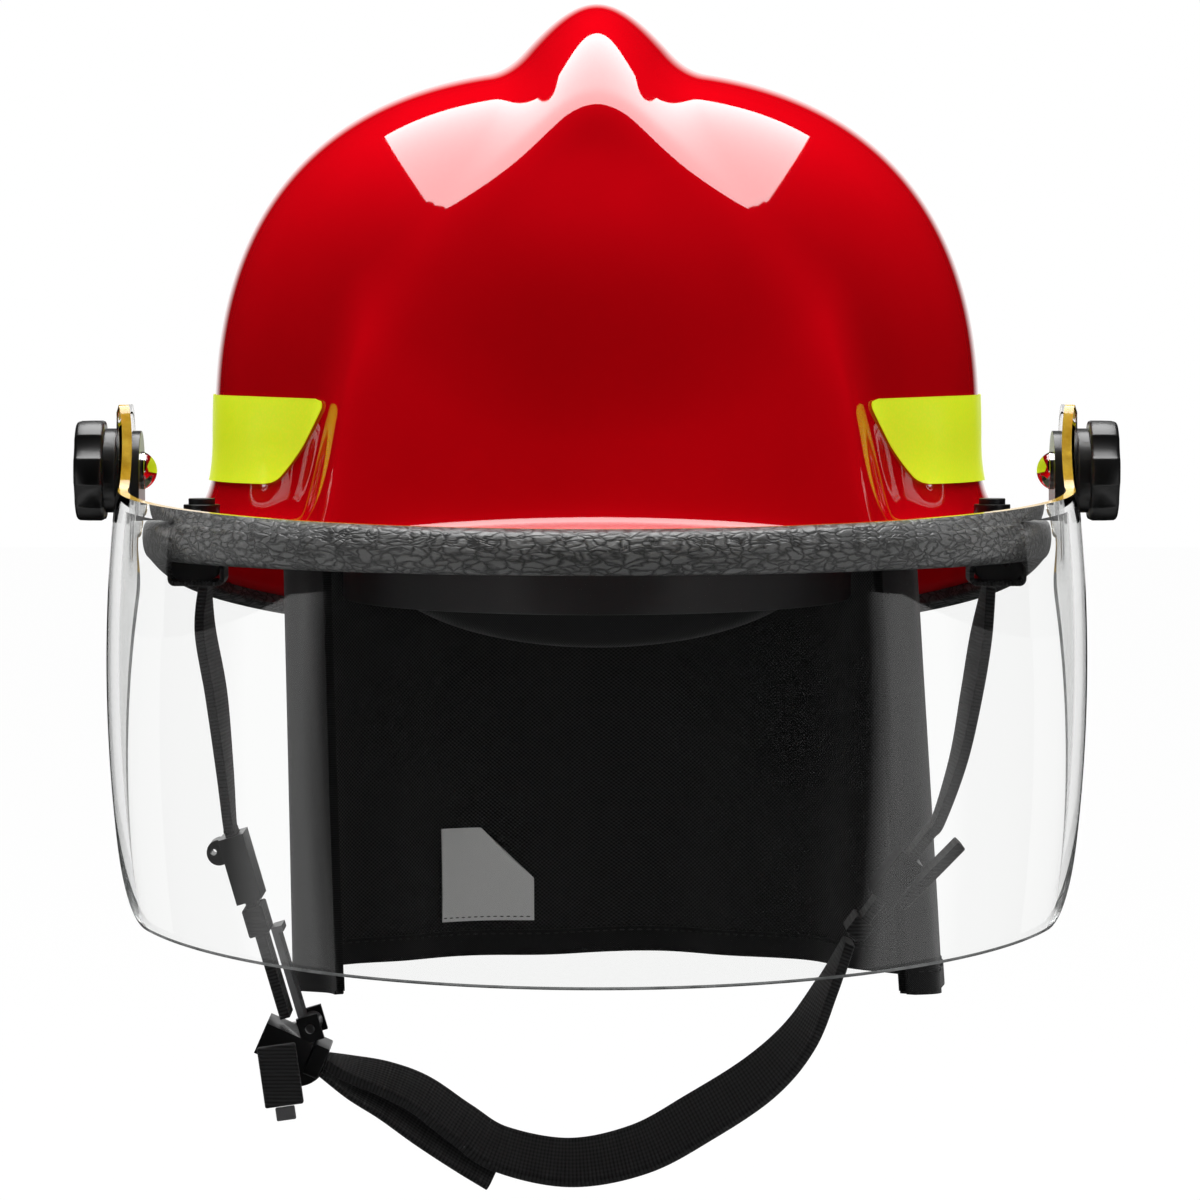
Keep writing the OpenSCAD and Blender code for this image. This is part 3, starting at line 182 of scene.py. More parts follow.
def sweptBar(name, path, across, outline, endRound=0.6):
    # A section carried along an open path. Both ends shrink to their middle, which closes them.
    ahead = unit(np.gradient(path, axis=0))
    up = unit(np.cross(ahead, across))
    side = unit(np.cross(up, ahead))
    share = np.concatenate([[0, 0.75, 0.93], np.ones(len(path)), [0.93, 0.75, 0]])
    path, ahead, side, up = (np.concatenate([[v[0]] * 3, v, [v[-1]] * 3]) for v in (path, ahead, side, up))
    push = np.concatenate([[-1, -1, -0.7], np.zeros(len(path) - 6), [0.7, 1, 1]]) * endRound
    mid = path + ahead * (push * 0.5)[:, None]
    wide, tall = outline[:, 0], outline[:, 1]
    flat = side[:, None] * wide[None, :, None] + up[:, None] * tall[None, :, None]
    rows = mid[:, None] + flat * share[:, None, None]
    along = np.concatenate([[0], np.cumsum(np.linalg.norm(np.diff(mid, axis=0), axis=1))])
    uv = np.stack(np.broadcast_arrays(wide[None, :] + 50, along[:, None]), -1) * mm
    obj = fillMesh(name, rows.reshape(-1, 3), gridQuads(*rows.shape[:2], False, True), uv.reshape(-1, 2))
    return tidyMesh(obj, sharp=55)


def smoothRoute(route, steps=24):
    # Catmull-Rom curve through chosen points, as arrays of x, y, z and twist.
    p = np.array(route, float)
    p = np.concatenate([p[:1], p, p[-1:]])
    t = np.linspace(0, 1, steps, endpoint=False)[None, :, None]
    a, b, c, d = (p[k:len(p) - 3 + k][:, None] for k in range(4))
    out = 0.5 * (2 * b + (c - a) * t + (2 * a - 5 * b + 4 * c - d) * sq(t) + (3 * b - a - 3 * c + d) * t ** 3)
    return np.concatenate([out.reshape(-1, p.shape[1]), p[-2:-1]])


def stitchRow(name, path, out, pitch=3.0, length=1.9, radius=0.28):
    # Short threads laid along a path, each a stretched ball of six sides, joined in one mesh.
    run = np.concatenate([[0], np.cumsum(np.linalg.norm(np.diff(path, axis=0), axis=1))])
    at = np.arange(pitch / 2, run[-1], pitch)
    mid = np.stack([np.interp(at, run, path[:, k]) for k in range(3)], -1)
    lift = unit(np.stack([np.interp(at, run, out[:, k]) for k in range(3)], -1))
    ahead = unit(np.stack([np.interp(at + 0.5, run, path[:, k]) for k in range(3)], -1) - mid + 1e-9)
    side = np.cross(lift, ahead)
    u = np.radians(np.linspace(0, 180, 5))[:, None]
    v = np.radians(np.arange(0, 360, 60))[None, :]
    ball = points(-np.cos(u) * length / 2, np.sin(u) * np.cos(v) * radius, np.sin(u) * np.sin(v) * radius)
    turned = sum(v[:, None, None] * ball[None, ..., k:k + 1] for k, v in enumerate((ahead, side, lift)))
    verts = mid[:, None, None] + turned
    one = gridQuads(5, 6, False, True)
    quads = (one[None] + (np.arange(len(at)) * 30)[:, None, None]).reshape(-1, 4)
    return tidyMesh(fillMesh(name, verts.reshape(-1, 3), quads), sharp=80)


def put(socket, value):
    # A value goes into the socket, and another node's output is linked to it
    if isinstance(value, bpy.types.NodeSocket):
        socket.id_data.links.new(value, socket)
    else:
        socket.default_value = value


def wire(node, **sockets):
    # Fills a node's sockets by name
    for key, value in sockets.items():
        put(node.inputs[key.replace("_", " ")], value)
    return node


def addNode(tree, kind, **sockets):
    # A new node with its sockets filled
    return wire(tree.nodes.new(kind), **sockets)


def newMaterial(name, **sockets):
    # A plain material, with its shader's sockets set by name
    material = bpy.data.materials.new(name)
    material.use_nodes = True
    tree = material.node_tree
    return material, tree, wire(tree.nodes["Principled BSDF"], **sockets)


def objectCoords(tree):
    # Places in metres on the piece itself
    return addNode(tree, "ShaderNodeTexCoord").outputs["Object"]


def splitOf(tree, vector):
    # The three coordinates of a vector
    return addNode(tree, "ShaderNodeSeparateXYZ", Vector=vector).outputs


def noiseOn(tree, coords, scale, detail=4.0, rough=0.55):
    # Noise from 0 to 1 over the given coordinates
    noise = addNode(tree, "ShaderNodeTexNoise", Vector=coords, Scale=scale, Detail=detail, Roughness=rough)
    return noise.outputs["Fac"]


def rampOf(tree, value, stops):
    # A value to a colour by its place between the stops
    ramp = addNode(tree, "ShaderNodeValToRGB", Fac=value)
    while len(ramp.color_ramp.elements) < len(stops):
        ramp.color_ramp.elements.new(0.5)
    for element, (place, color) in zip(ramp.color_ramp.elements, stops):
        element.position = place
        element.color = (*color, 1)
    return ramp.outputs["Color"]


def rangeOf(tree, value, low, high, fromLow=0.3, fromHigh=0.7):
    # A value from one range to another, held at its ends
    return addNode(tree, "ShaderNodeMapRange", Value=value, From_Min=fromLow, From_Max=fromHigh,
                   To_Min=low, To_Max=high).outputs["Result"]


def bumpFrom(tree, height, strength, distance):
    # A normal that leans by the slope of a height, whose depth is in mm
    bump = addNode(tree, "ShaderNodeBump", Strength=strength, Distance=distance * mm, Height=height)
    return bump.outputs["Normal"]


def mathOf(tree, operation, *values, kind="ShaderNodeMath"):
    # One operation on numbers, vectors or node outputs
    made = addNode(tree, kind)
    made.operation = operation
    for socket, value in zip(made.inputs, values):
        put(socket, value)
    return made.outputs[0]


def mixShaders(tree, share, first, second):
    # From the first shader to the second by a share
    made = addNode(tree, "ShaderNodeMixShader", Fac=share)
    put(made.inputs[1], first)
    put(made.inputs[2], second)
    return made.outputs["Shader"]


def mouldedMaterial(name, color, rough, grain=900, grainDepth=0.02, spread=0.18, coat=0.0, metallic=0.0):
    # Moulded or painted surface: fine grain in relief, mottled colour and uneven gloss.
    material, tree, shader = newMaterial(name, Metallic=metallic, Coat_Weight=coat, Coat_Roughness=0.08)
    place = objectCoords(tree)
    broad = noiseOn(tree, place, 38, 5)
    dark = tuple(c * (1 - spread) for c in color)
    light = tuple(min(1, c * (1 + spread)) for c in color)
    wire(shader, Base_Color=rampOf(tree, broad, [(0.3, dark), (0.7, light)]),
         Roughness=rangeOf(tree, broad, rough - 0.05, rough + 0.07),
         Normal=bumpFrom(tree, noiseOn(tree, place, grain, 3), 0.5, grainDepth))
    return material


# Finishes of the shell: red gloss coat with a slight orange peel
redLook = {"deep": (0.47, 0.0003, 0.0036), "bright": (0.53, 0.0004, 0.0044), "rough": (0.43, 0.48),
           "broad": 14, "peel": 160, "peelDepth": 0.01, "coatRough": 0.03, "coatIor": 1.66}


def redMaterial():
    material, tree, shader = newMaterial("shellRed", Coat_Weight=1.0, Coat_Roughness=redLook["coatRough"],
                                         Coat_IOR=redLook["coatIor"], Specular_IOR_Level=0.0)
    place = objectCoords(tree)
    broad = noiseOn(tree, place, redLook["broad"])
    wire(shader, Base_Color=rampOf(tree, broad, [(0.35, redLook["deep"]), (0.65, redLook["bright"])]),
         Roughness=rangeOf(tree, broad, *redLook["rough"]),
         Normal=bumpFrom(tree, noiseOn(tree, place, redLook["peel"], 2), 0.25, redLook["peelDepth"]))
    return material


# Beading: meandering wrinkles about 2 mm apart, with painted shade in the creases and painted highlight on
# their ridges
trimLook = {"dark": (0.025, 0.025, 0.0255), "pale": (0.12, 0.12, 0.121), "scale": 520,
            "stretch": (0.42, 0.42, 1.0), "bend": 200.0, "bendBy": (0.006, 0.006, 0.006),
            "ridge": 0.22, "depth": 0.6}


def trimMaterial():
    material, tree, shader = newMaterial("trimGrey", Coat_Weight=0.25, Coat_Roughness=0.2)
    vector = "ShaderNodeVectorMath"
    place = mathOf(tree, "MULTIPLY", objectCoords(tree), trimLook["stretch"], kind=vector)
    bend = addNode(tree, "ShaderNodeTexNoise", Vector=place, Scale=trimLook["bend"], Detail=3.0)
    shift = mathOf(tree, "MULTIPLY_ADD", bend.outputs["Color"], trimLook["bendBy"], place, kind=vector)
    cells = addNode(tree, "ShaderNodeTexVoronoi", Vector=shift, Scale=trimLook["scale"])
    cells.feature = "DISTANCE_TO_EDGE"
    ridge = rangeOf(tree, cells.outputs["Distance"], 0, 1, 0.0, trimLook["ridge"])
    fine = noiseOn(tree, place, 900, 4, 0.6)
    height = mathOf(tree, "MULTIPLY_ADD", ridge, 0.8, fine)
    # Colour from dark in the creases to pale on the ridges is painted shade and painted highlight, laid over
    # the bump
    wire(shader, Base_Color=rampOf(tree, ridge, [(0.0, trimLook["dark"]), (1.0, trimLook["pale"])]),
         Roughness=rangeOf(tree, fine, 0.3, 0.46), Normal=bumpFrom(tree, height, 0.7, trimLook["depth"]))
    return material


# Reflective film: fine prism cells under a clear face, with a painted glow: a faint emission in the film's
# own colour that stands in for the brightness of fluorescent film
limeLook = {"pale": (0.78, 0.94, 0.016), "deep": (0.7, 0.86, 0.01), "cells": 1100.0, "glow": 0.3}


def limeMaterial():
    # The emission here is painted glow: the film shines in its own colour without any lamp
    material, tree, shader = newMaterial("filmLime", Specular_IOR_Level=0.3,
                                         Emission_Strength=limeLook["glow"])
    place = objectCoords(tree)
    cells = addNode(tree, "ShaderNodeTexVoronoi", Vector=place, Scale=limeLook["cells"])
    color = rampOf(tree, cells.outputs["Distance"], [(0.0, limeLook["pale"]), (0.7, limeLook["deep"])])
    wire(shader, Base_Color=color, Emission_Color=color,
         Roughness=rangeOf(tree, noiseOn(tree, place, 60), 0.28, 0.4),
         Normal=bumpFrom(tree, cells.outputs["Distance"], 0.2, 0.02))
    return material


def lensMaterial():
    # Clear polycarbonate, which lets lamp light through without a dark shadow.
    material, tree, shader = newMaterial("lensClear", Base_Color=(0.985, 0.99, 0.985, 1),
                                         Transmission_Weight=1.0, IOR=1.45)
    wire(shader, Roughness=rangeOf(tree, noiseOn(tree, objectCoords(tree), 30), 0.0, 0.012))
    path = addNode(tree, "ShaderNodeLightPath")
    clear = addNode(tree, "ShaderNodeBsdfTransparent", Color=(0.97, 0.975, 0.97, 1))
    both = mixShaders(tree, path.outputs["Is Shadow Ray"], shader.outputs["BSDF"], clear.outputs["BSDF"])
    wire(tree.nodes["Material Output"], Surface=both)
    return material


def edgeMaterial(name, deep, pale, rough):
    # Cut edge of the lens, with streaks along it.
    material, tree, shader = newMaterial(name, Transmission_Weight=0.3, Coat_Weight=0.5, Coat_Roughness=0.05)
    streak = noiseOn(tree, objectCoords(tree), 160, 4, 0.6)
    wire(shader, Base_Color=rampOf(tree, streak, [(0.32, deep), (0.68, pale)]),
         Roughness=rangeOf(tree, streak, rough - 0.04, rough + 0.06))
    return material


def wovenMaterial(name, dark, light, across, along, depth, sheen=0.25, rough=0.82):
    # Woven or knitted cloth on the piece's own UV map in metres: yarns across and along, in relief, with
    # painted shade where the weave is low and painted highlight on the yarns' tops.
    material, tree, shader = newMaterial(name, Sheen_Weight=sheen, Specular_IOR_Level=0.25)
    uv = addNode(tree, "ShaderNodeTexCoord").outputs["UV"]
    waves = []
    for place, pitch in zip(splitOf(tree, uv), (across, along)):
        waves.append(mathOf(tree, "SINE", mathOf(tree, "MULTIPLY", place, 2 * math.pi / (pitch * mm))))
    if along < across:
        weave = mathOf(tree, "MULTIPLY_ADD", waves[0], 0.25, waves[1])
    else:
        weave = mathOf(tree, "MULTIPLY", *waves)
    fuzz = noiseOn(tree, objectCoords(tree), 260, 5, 0.6)
    height = mathOf(tree, "MULTIPLY_ADD", fuzz, 0.7, weave)
    # Colour follows the weave's height: painted shade between the yarns and painted highlight on their tops
    tone = rangeOf(tree, height, 0, 1, -0.8, 1.5)
    wire(shader, Base_Color=rampOf(tree, tone, [(0.1, dark), (0.9, light)]),
         Roughness=rangeOf(tree, fuzz, rough - 0.06, rough + 0.08),
         Normal=bumpFrom(tree, height, 0.55, depth))
    return material


finish = {
    "red": redMaterial(),
    "trim": trimMaterial(),
    "lime": limeMaterial(),
    "lens": lensMaterial(),
    "amber": edgeMaterial("lensAmber", (0.5, 0.27, 0.012), (0.85, 0.56, 0.06), 0.12),
    "greyEdge": edgeMaterial("lensGreyEdge", (0.1, 0.105, 0.105), (0.3, 0.31, 0.31), 0.2),
    "knob": mouldedMaterial("knobBlack", (0.006, 0.006, 0.0063), 0.34, 1100, 0.03, 0.25, 0.1),
    "black": mouldedMaterial("fittingBlack", (0.008, 0.008, 0.0085), 0.3, 900, 0.03, 0.3, 0.1),
    "band": mouldedMaterial("bandBlack", (0.02, 0.02, 0.021), 0.42, 800, 0.04),
    "foam": mouldedMaterial("linerFoam", (0.035, 0.035, 0.036), 0.85, 420, 0.25, 0.3),
    "chrome": mouldedMaterial("boltChrome", (0.72, 0.72, 0.74), 0.09, 600, 0.004, 0.05, 0, 1.0),
    "screw": mouldedMaterial("screwBlack", (0.03, 0.03, 0.032), 0.36, 700, 0.02, 0.2, 0, 0.7),
    "steel": mouldedMaterial("pinSteel", (0.5, 0.5, 0.51), 0.28, 900, 0.01, 0.08, 0, 1.0),
    "snap": mouldedMaterial("snapMetal", (0.25, 0.25, 0.26), 0.33, 800, 0.01, 0.12, 0, 1.0),
    "grey": mouldedMaterial("leverGrey", (0.13, 0.13, 0.135), 0.36, 900, 0.03, 0.15, 0.1),
    "pale": mouldedMaterial("tailPale", (0.36, 0.36, 0.35), 0.45, 900, 0.03, 0.08),
    "webbing": wovenMaterial("webbingBlack", (0.004, 0.004, 0.0042), (0.024, 0.024, 0.025), 1.6, 1.15, 0.22),
    "cover": wovenMaterial("coverCloth", (0.006, 0.006, 0.0062), (0.026, 0.026, 0.027), 0.7, 0.7, 0.1),
    "mesh": wovenMaterial("coverMesh", (0.002, 0.002, 0.002), (0.05, 0.05, 0.051), 1.25, 1.25, 0.3, 0.15),
    "pad": wovenMaterial("padCloth", (0.01, 0.01, 0.0105), (0.04, 0.04, 0.041), 0.9, 0.9, 0.12),
    "label": wovenMaterial("labelCloth", (0.82, 0.82, 0.81), (0.92, 0.92, 0.91), 0.5, 0.5, 0.04, 0.05, 0.7),
    "thread": mouldedMaterial("threadBlack", (0.035, 0.035, 0.036), 0.7, 2500, 0.05, 0.3),
}
print("finishes made")


def dress(obj, body, finishName, *nodes, slotName=None):
    # Gives a piece its finish, its body and the CAD nodes that it stands for; slotName is not used
    if not obj.data.materials:
        obj.data.materials.append(finish[finishName])
    if body:
        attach(obj, body)
    if nodes:
        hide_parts(*nodes)
    return obj


def roundedCopy(node, body, finishName, width, segments=3):
    # A CAD node's own shape with its hard edges eased, for moulded and turned pieces.
    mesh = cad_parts[node].data.copy()
    mesh.materials.clear()
    obj = bpy.data.objects.new(node + "_piece", mesh)
    bpy.context.scene.collection.objects.link(obj)
    work = bmesh.new()
    work.from_mesh(mesh)
    bmesh.ops.remove_doubles(work, verts=work.verts, dist=0.00001)
    bmesh.ops.dissolve_limit(work, angle_limit=math.radians(0.8), verts=work.verts, edges=work.edges)
    work.to_mesh(mesh)
    work.free()
    shadeSmooth(mesh, 32)
    bevel = obj.modifiers.new("ease", "BEVEL")
    bevel.width = width * mm
    bevel.segments = segments
    bevel.limit_method = "ANGLE"
    bevel.angle_limit = math.radians(38)
    bevel.harden_normals = True
    return dress(obj, body, finishName, node)


# Shell: dome, crest, front panel and brim
shell = {"halfWidth": 118.5, "front": 103, "rear": 129, "height": 115, "baseZ": 33, "wall": 3.2, "midY": 4,
         "crestRise": 20, "crestRound": 16, "crestReach": 128, "crestFront": 126, "crestSteep": 1.15,
         "crestSteepW": 160, "steepFront": 0.88, "spreadY": 40, "spreadL": 45, "cornerHalf": 68,
         "cornerSoft": 6, "crestPowerFront": 1.8, "crestPowerRear": 2.3, "panelReach": 113,
         "panelLean": 18, "panelFootZ": 20, "ribSoft": 5, "valleySoft": 6,
         "planFront": 2.5, "planRear": 2.15, "domePower": 2.5,
         "bendDown": 0.8, "bendOut": 0.72, "bend": 0.16, "bendTo": 50, "bendFade": 18,
         "columns": 360, "domeRows": 110, "flareRows": 40}
brim = {"halfWidth": 143.5, "halfLength": 168, "midY": 17, "z": 5.6, "fall": 0.206, "fallY": 10,
        "fallSoft": 26, "powerFront": 2, "powerRear": 2.3, "slopeFront": 0.1, "slopeRear": 0.3}
domeCentre = np.array([0, shell["midY"], shell["baseZ"]])


def rayOf(bearing, lift):
    # Direction by its bearing from straight ahead and its lift from level, in degrees
    b, l = np.radians(bearing), np.radians(lift)
    return points(np.cos(l) * np.sin(b), -np.cos(l) * np.cos(b), np.sin(l))


def domeDist(d, inset):
    # Distance to the dome: a superellipse in plan, and a superellipse from it to the top.
    front = d[..., 1] < 0
    a = shell["halfWidth"] - inset
    b = np.where(front, shell["front"], shell["rear"]) - inset
    p = np.where(front, shell["planFront"], shell["planRear"])
    plan = (np.abs(d[..., 0] / a) ** p + np.abs(d[..., 1] / b) ** p) ** (1 / p)
    k = shell["domePower"]
    return (plan ** k + (np.maximum(d[..., 2], 0) / (shell["height"] - inset)) ** k) ** (-1 / k)


def crestLevel(p, inset):
    # Below 1 inside the crest, whose side spreads over the front down to the panel's lower corners.
    w, front = np.abs(p[..., 0]) + inset, p[..., 1] < 0
    ahead = ease((-p[..., 1] - shell["spreadY"]) / shell["spreadL"])
    steep = mix(shell["crestSteep"] + w / shell["crestSteepW"], shell["steepFront"], ahead)
    fall = (np.sqrt(sq(w) + sq(shell["crestRound"])) - shell["crestRound"]) * steep
    fall = fall + ahead * sq(np.maximum(0, w - shell["cornerHalf"])) / shell["cornerSoft"]
    tall = shell["height"] + shell["crestRise"] - inset
    reach = np.where(front, shell["crestFront"], shell["crestReach"]) - inset
    k = np.where(front, shell["crestPowerFront"], shell["crestPowerRear"])
    return (np.abs(p[..., 1]) / reach) ** k + (np.maximum(0, p[..., 2] + fall) / tall) ** k


def crestDist(d, inset):
    # Distance to the crest, found by halving the range 26 times
    low, high = np.full(d.shape[:-1], 20.0), np.full(d.shape[:-1], 190.0)
    for _ in range(26):
        mid = (low + high) / 2
        inside = crestLevel(d * mid[..., None], inset) < 1
        low, high = np.where(inside, mid, low), np.where(inside, high, mid)
    return low


def panelDist(d, inset):
    # Distance to the front panel's leaning plane
    lean = math.radians(shell["panelLean"])
    n = np.array([0, -math.cos(lean), math.sin(lean)])
    foot = np.array([0, -shell["panelReach"], shell["panelFootZ"] - shell["baseZ"]])
    toward = d @ n
    return np.where(toward > 0.05, (n @ foot - inset) / np.maximum(toward, 0.05), 9999)


def skinPoint(bearing, lift, inset=0.0):
    # Side lobes joined softly to a crest that the front panel cuts.
    d = rayOf(bearing, lift)
    wedge = softMin(crestDist(d, inset), panelDist(d, inset), shell["ribSoft"])
    return domeCentre + d * softMax(domeDist(d, inset), wedge, shell["valleySoft"])[..., None]


def brimPlan(bearing):
    # Superellipse in plan, with a blunter power behind than in front
    b = np.radians(bearing)
    p = np.where(np.cos(b) > 0, brim["powerFront"], brim["powerRear"])
    plan = np.abs(np.sin(b) / brim["halfWidth"]) ** p + np.abs(np.cos(b) / brim["halfLength"]) ** p
    r = plan ** (-1 / p)
    return r * np.sin(b), brim["midY"] - r * np.cos(b)


def brimEdge(bearing):
    # The edge falls backwards along a soft bend
    x, y = brimPlan(bearing)
    u = y - brim["fallY"]
    return points(x, y, brim["z"] - brim["fall"] * (u + np.sqrt(sq(u) + sq(brim["fallSoft"]))) / 2)


def flarePoint(bearing, share, inset=0.0):
    # Concave sweep from the dome's base to the brim edge, as one cubic curve a bearing. In front
    # it becomes a hyperbola, since the panel meets the brim there with a thin bright line.
    bearing, share = np.broadcast_arrays(np.asarray(bearing, float), np.asarray(share, float))
    low, above = skinPoint(bearing, 0 * bearing, inset), skinPoint(bearing, 0 * bearing + 4, inset)
    edge = brimEdge(bearing) - [0, 0, inset]
    run = np.hypot(low[..., 0] - edge[..., 0], low[..., 1] - edge[..., 1])
    cornerZ = edge[..., 2] + run * mix(brim["slopeFront"], brim["slopeRear"], ease((low[..., 1] + 20) / 140))
    down = unit(low - above)
    corner = low + down * ((low[..., 2] - cornerZ) / np.maximum(0.3, -down[..., 2]))[..., None]
    a, b = mix(low, corner, shell["bendDown"]), mix(edge, corner, shell["bendOut"])
    t = (1 - share)[..., None]
    broad = low * (1 - t) ** 3 + a * 3 * t * sq(1 - t) + b * 3 * sq(t) * (1 - t) + edge * t ** 3
    w, k = 1 - 2 * t, shell["bend"]
    bow = 1 + np.sqrt(sq(w) + sq(k)) - np.sqrt(1 + sq(k))
    tight = corner + (low - corner) * (bow + w) / 2 + (edge - corner) * (bow - w) / 2
    side = np.abs((bearing + 180) % 360 - 180)
    return mix(broad, tight, ease((shell["bendTo"] - side) / shell["bendFade"])[..., None])


def shellWall(inset):
    # Rings from the brim's edge up the flare, and on over the dome to its top
    bearing = np.arange(shell["columns"])[None] * 360 / shell["columns"]
    share = np.linspace(0, 1, shell["flareRows"], endpoint=False)[:, None]
    lift = np.linspace(0, 90, shell["domeRows"])[:, None]
    return np.concatenate([flarePoint(bearing, share, inset), skinPoint(bearing, lift, inset)])


def buildShell():
    # The outer wall from its top to the brim's edge, then the inner one back up
    rows = np.concatenate([shellWall(0)[::-1], shellWall(shell["wall"])])
    dress(shellMesh("shell_piece", rows), "helmet", "red", "shell")


buildShell()

# Edge trim: rolled beading round the brim, with a slot that takes the brim's edge
beading = {"height": 12.2, "out": 3.4, "nose": 4, "lap": 5, "columns": 420, "gap": 0.3}


def trimFrame(columns):
    # The brim's edge, the outward direction in plan, and the flare's slope there
    bearing = np.arange(columns) * 360 / columns
    edge = brimEdge(bearing)
    rise = flarePoint(bearing, 0 * bearing + 0.2) - edge
    slope = rise[:, 2] / np.hypot(rise[:, 0], rise[:, 1])
    a, b = np.stack(brimPlan(bearing + 1), -1), np.stack(brimPlan(bearing - 1), -1)
    out = unit(np.stack([a[:, 1] - b[:, 1], b[:, 0] - a[:, 0]], -1))
    return edge, out, slope


def buildTrim():
    # One section, with the slot inside and a rounded nose outside, carried round the brim's edge
    edge, out, slope = trimFrame(beading["columns"])
    o = unit(np.stack([out[:, 0], out[:, 1], -slope], -1))
    u = unit(np.stack([out[:, 0] * slope, out[:, 1] * slope, np.ones(len(slope))], -1))
    h, lap, slot = beading["height"] / 2, beading["lap"], shell["wall"] / 2 + beading["gap"]
    turn = np.radians(np.linspace(-90, 90, 15))
    deep = beading["nose"]
    nose = np.stack([beading["out"] + deep * (np.cos(turn) ** 0.8 - 1), h * np.sin(turn)], -1)
    heel = np.array([[-lap, h - 1], [0.4 - lap, h - 0.35], [1.4 - lap, h]])
    inside = [[-lap, slot], [0.3, slot], [0.8, -slot], [-lap, -slot]]
    shape = np.concatenate([inside, heel * [1, -1], nose, heel[::-1]])
    mid = edge - u * shell["wall"] / 2
    rows = mid[:, None] + o[:, None] * shape[None, :, :1] + u[:, None] * shape[None, :, 1:]
    dress(ringMesh("edge_trim_piece", rows), "helmet", "trim", "edge_trim")


buildTrim()
print("shell and beading made")

# Reflective patches: bearings at the lower and upper edge, and how far up the wall they reach
patch = {"rowLow": 3.85, "rowHigh": 6.05, "flareRows": 5, "rowLift": 90 / 14, "gap": 0.4, "film": 0.3,
         "corner": 0.12, "round": 0.07}
patchEnds = {"patch_front_left": (-112, -52.5, -116, -42.5), "patch_front_right": (52.5, 112, 42.5, 116),
             "patch_rear_left": (-164, -128, -160, -124), "patch_rear_right": (128, 164, 124, 160)}


def wallPoint(bearing, row, off):
    # A place on the shell by its bearing and its row up the flare and the dome, lifted off it
    onFlare = flarePoint(bearing, np.clip(row / patch["flareRows"], 0, 1))
    onDome = skinPoint(bearing, np.maximum(0, (row - patch["flareRows"]) * patch["rowLift"]))
    base = np.where((row < patch["flareRows"])[..., None], onFlare, onDome)
    b = np.radians(bearing)
    return base + points(np.sin(b), -np.cos(b), 0.2) * off


def buildPatch(name):
    # Bearing by row, mixed between the four corners, with the ends drawn in at the corners
    lowA, lowB, highA, highB = patchEnds[name]
    s = np.linspace(0, 1, 40)[:, None]
    c = np.linspace(-1, 1, 90)[None, :]
    near = np.minimum(s, 1 - s) / patch["corner"]
    pull = 1 - patch["round"] * (1 - np.sqrt(np.clip(1 - sq(1 - np.clip(near, 0, 1)), 0, 1)))
    u = (c * pull + 1) / 2
    bearing = mix(mix(lowA, highA, s), mix(lowB, highB, s), u)
    row = mix(patch["rowLow"], patch["rowHigh"], s) + 0 * c
    outer, inner = (wallPoint(bearing, row, patch["gap"] + film) for film in (patch["film"], 0))
    dress(slabMesh(name + "_piece", outer, inner), "helmet", "lime", name)


for name in patchEnds:
    buildPatch(name)

# Face shield: a curved lens with ears, whose upper edge is a bevelled band
lens = {"halfWidth": 145.4, "wideZ": -32, "bow": 0.00108, "thick": 3.6, "frontY": -159.4, "midY": -86,
        "toe": 6, "toeRun": 35, "topZ": 11.4, "topRise": 0.125, "shoulder": (29, 16), "drop": 120,
        "frontShare": 0.55, "earX": 143.9, "earHalf": 16, "earUp": 22, "earDown": 18, "earZ": 23,
        "seatZ": (14, 18), "seatRun": 20, "pivotY": -55, "lowRise": 0.23, "rearSlope": 2.65, "rearY": 2.8,
        "rearSoft": 26, "columns": 150, "rows": 72, "bandHigh": 2.3, "bandDeep": 0.7,
        "line": 0.6, "lowLine": 0.9}


def earCurve(y, reach):
    # Height over the ear's centre: full ahead of the pivot, and a cubic superellipse behind it
    rear = np.clip((y - lens["pivotY"]) / lens["earHalf"], 0, 1)
    return lens["earZ"] + reach * np.maximum(0, 1 - rear ** 3) ** (1 / 3)


def lensTop(y):
    # The straight upper edge rises to the ear through an eased step
    back, length = lens["shoulder"]
    edge = lens["topZ"] + lens["topRise"] * (y - lens["frontY"])
    return mix(edge, earCurve(y, lens["earUp"]), ease((y - lens["pivotY"] + back) / length))


def lensLow(y):
    # Two straight edges joined softly, and the ear's lower curve behind
    rise = lens["lowRise"] * (y - lens["frontY"])
    rear = lens["rearSlope"] * (y - lens["pivotY"] + lens["rearY"])
    ahead = np.minimum(softMax(rise - lens["drop"], rear, lens["rearSoft"]), lens["earZ"] - lens["earDown"])
    return np.where(y < lens["pivotY"], ahead, earCurve(y, -lens["earDown"]))


def lensXY(along, side, z, depth):
    # A half ellipse in plan with straight sides behind it, bowed by height and toed in to the ears
    turn = np.radians(np.minimum(1, along / lens["frontShare"]) * 90)
    behind = np.maximum(0, along - lens["frontShare"]) / (1 - lens["frontShare"])
    straight = lens["earHalf"] + lens["pivotY"] - lens["midY"]
    y = lens["midY"] - (lens["midY"] - lens["frontY"] - depth) * np.cos(turn) + behind * straight
    toe = lens["toe"] * sq((np.maximum(y, lens["midY"]) - lens["midY"]) / lens["toeRun"])
    half = (lens["halfWidth"] - lens["bow"] * sq(z - lens["wideZ"])) * np.sin(turn) - toe
    under, high = lens["seatZ"]
    seat = ease((z + under) / high) * ease((y - lens["midY"]) / lens["seatRun"])
    return side * (mix(half, lens["earX"], seat) - depth * np.sin(turn)), y


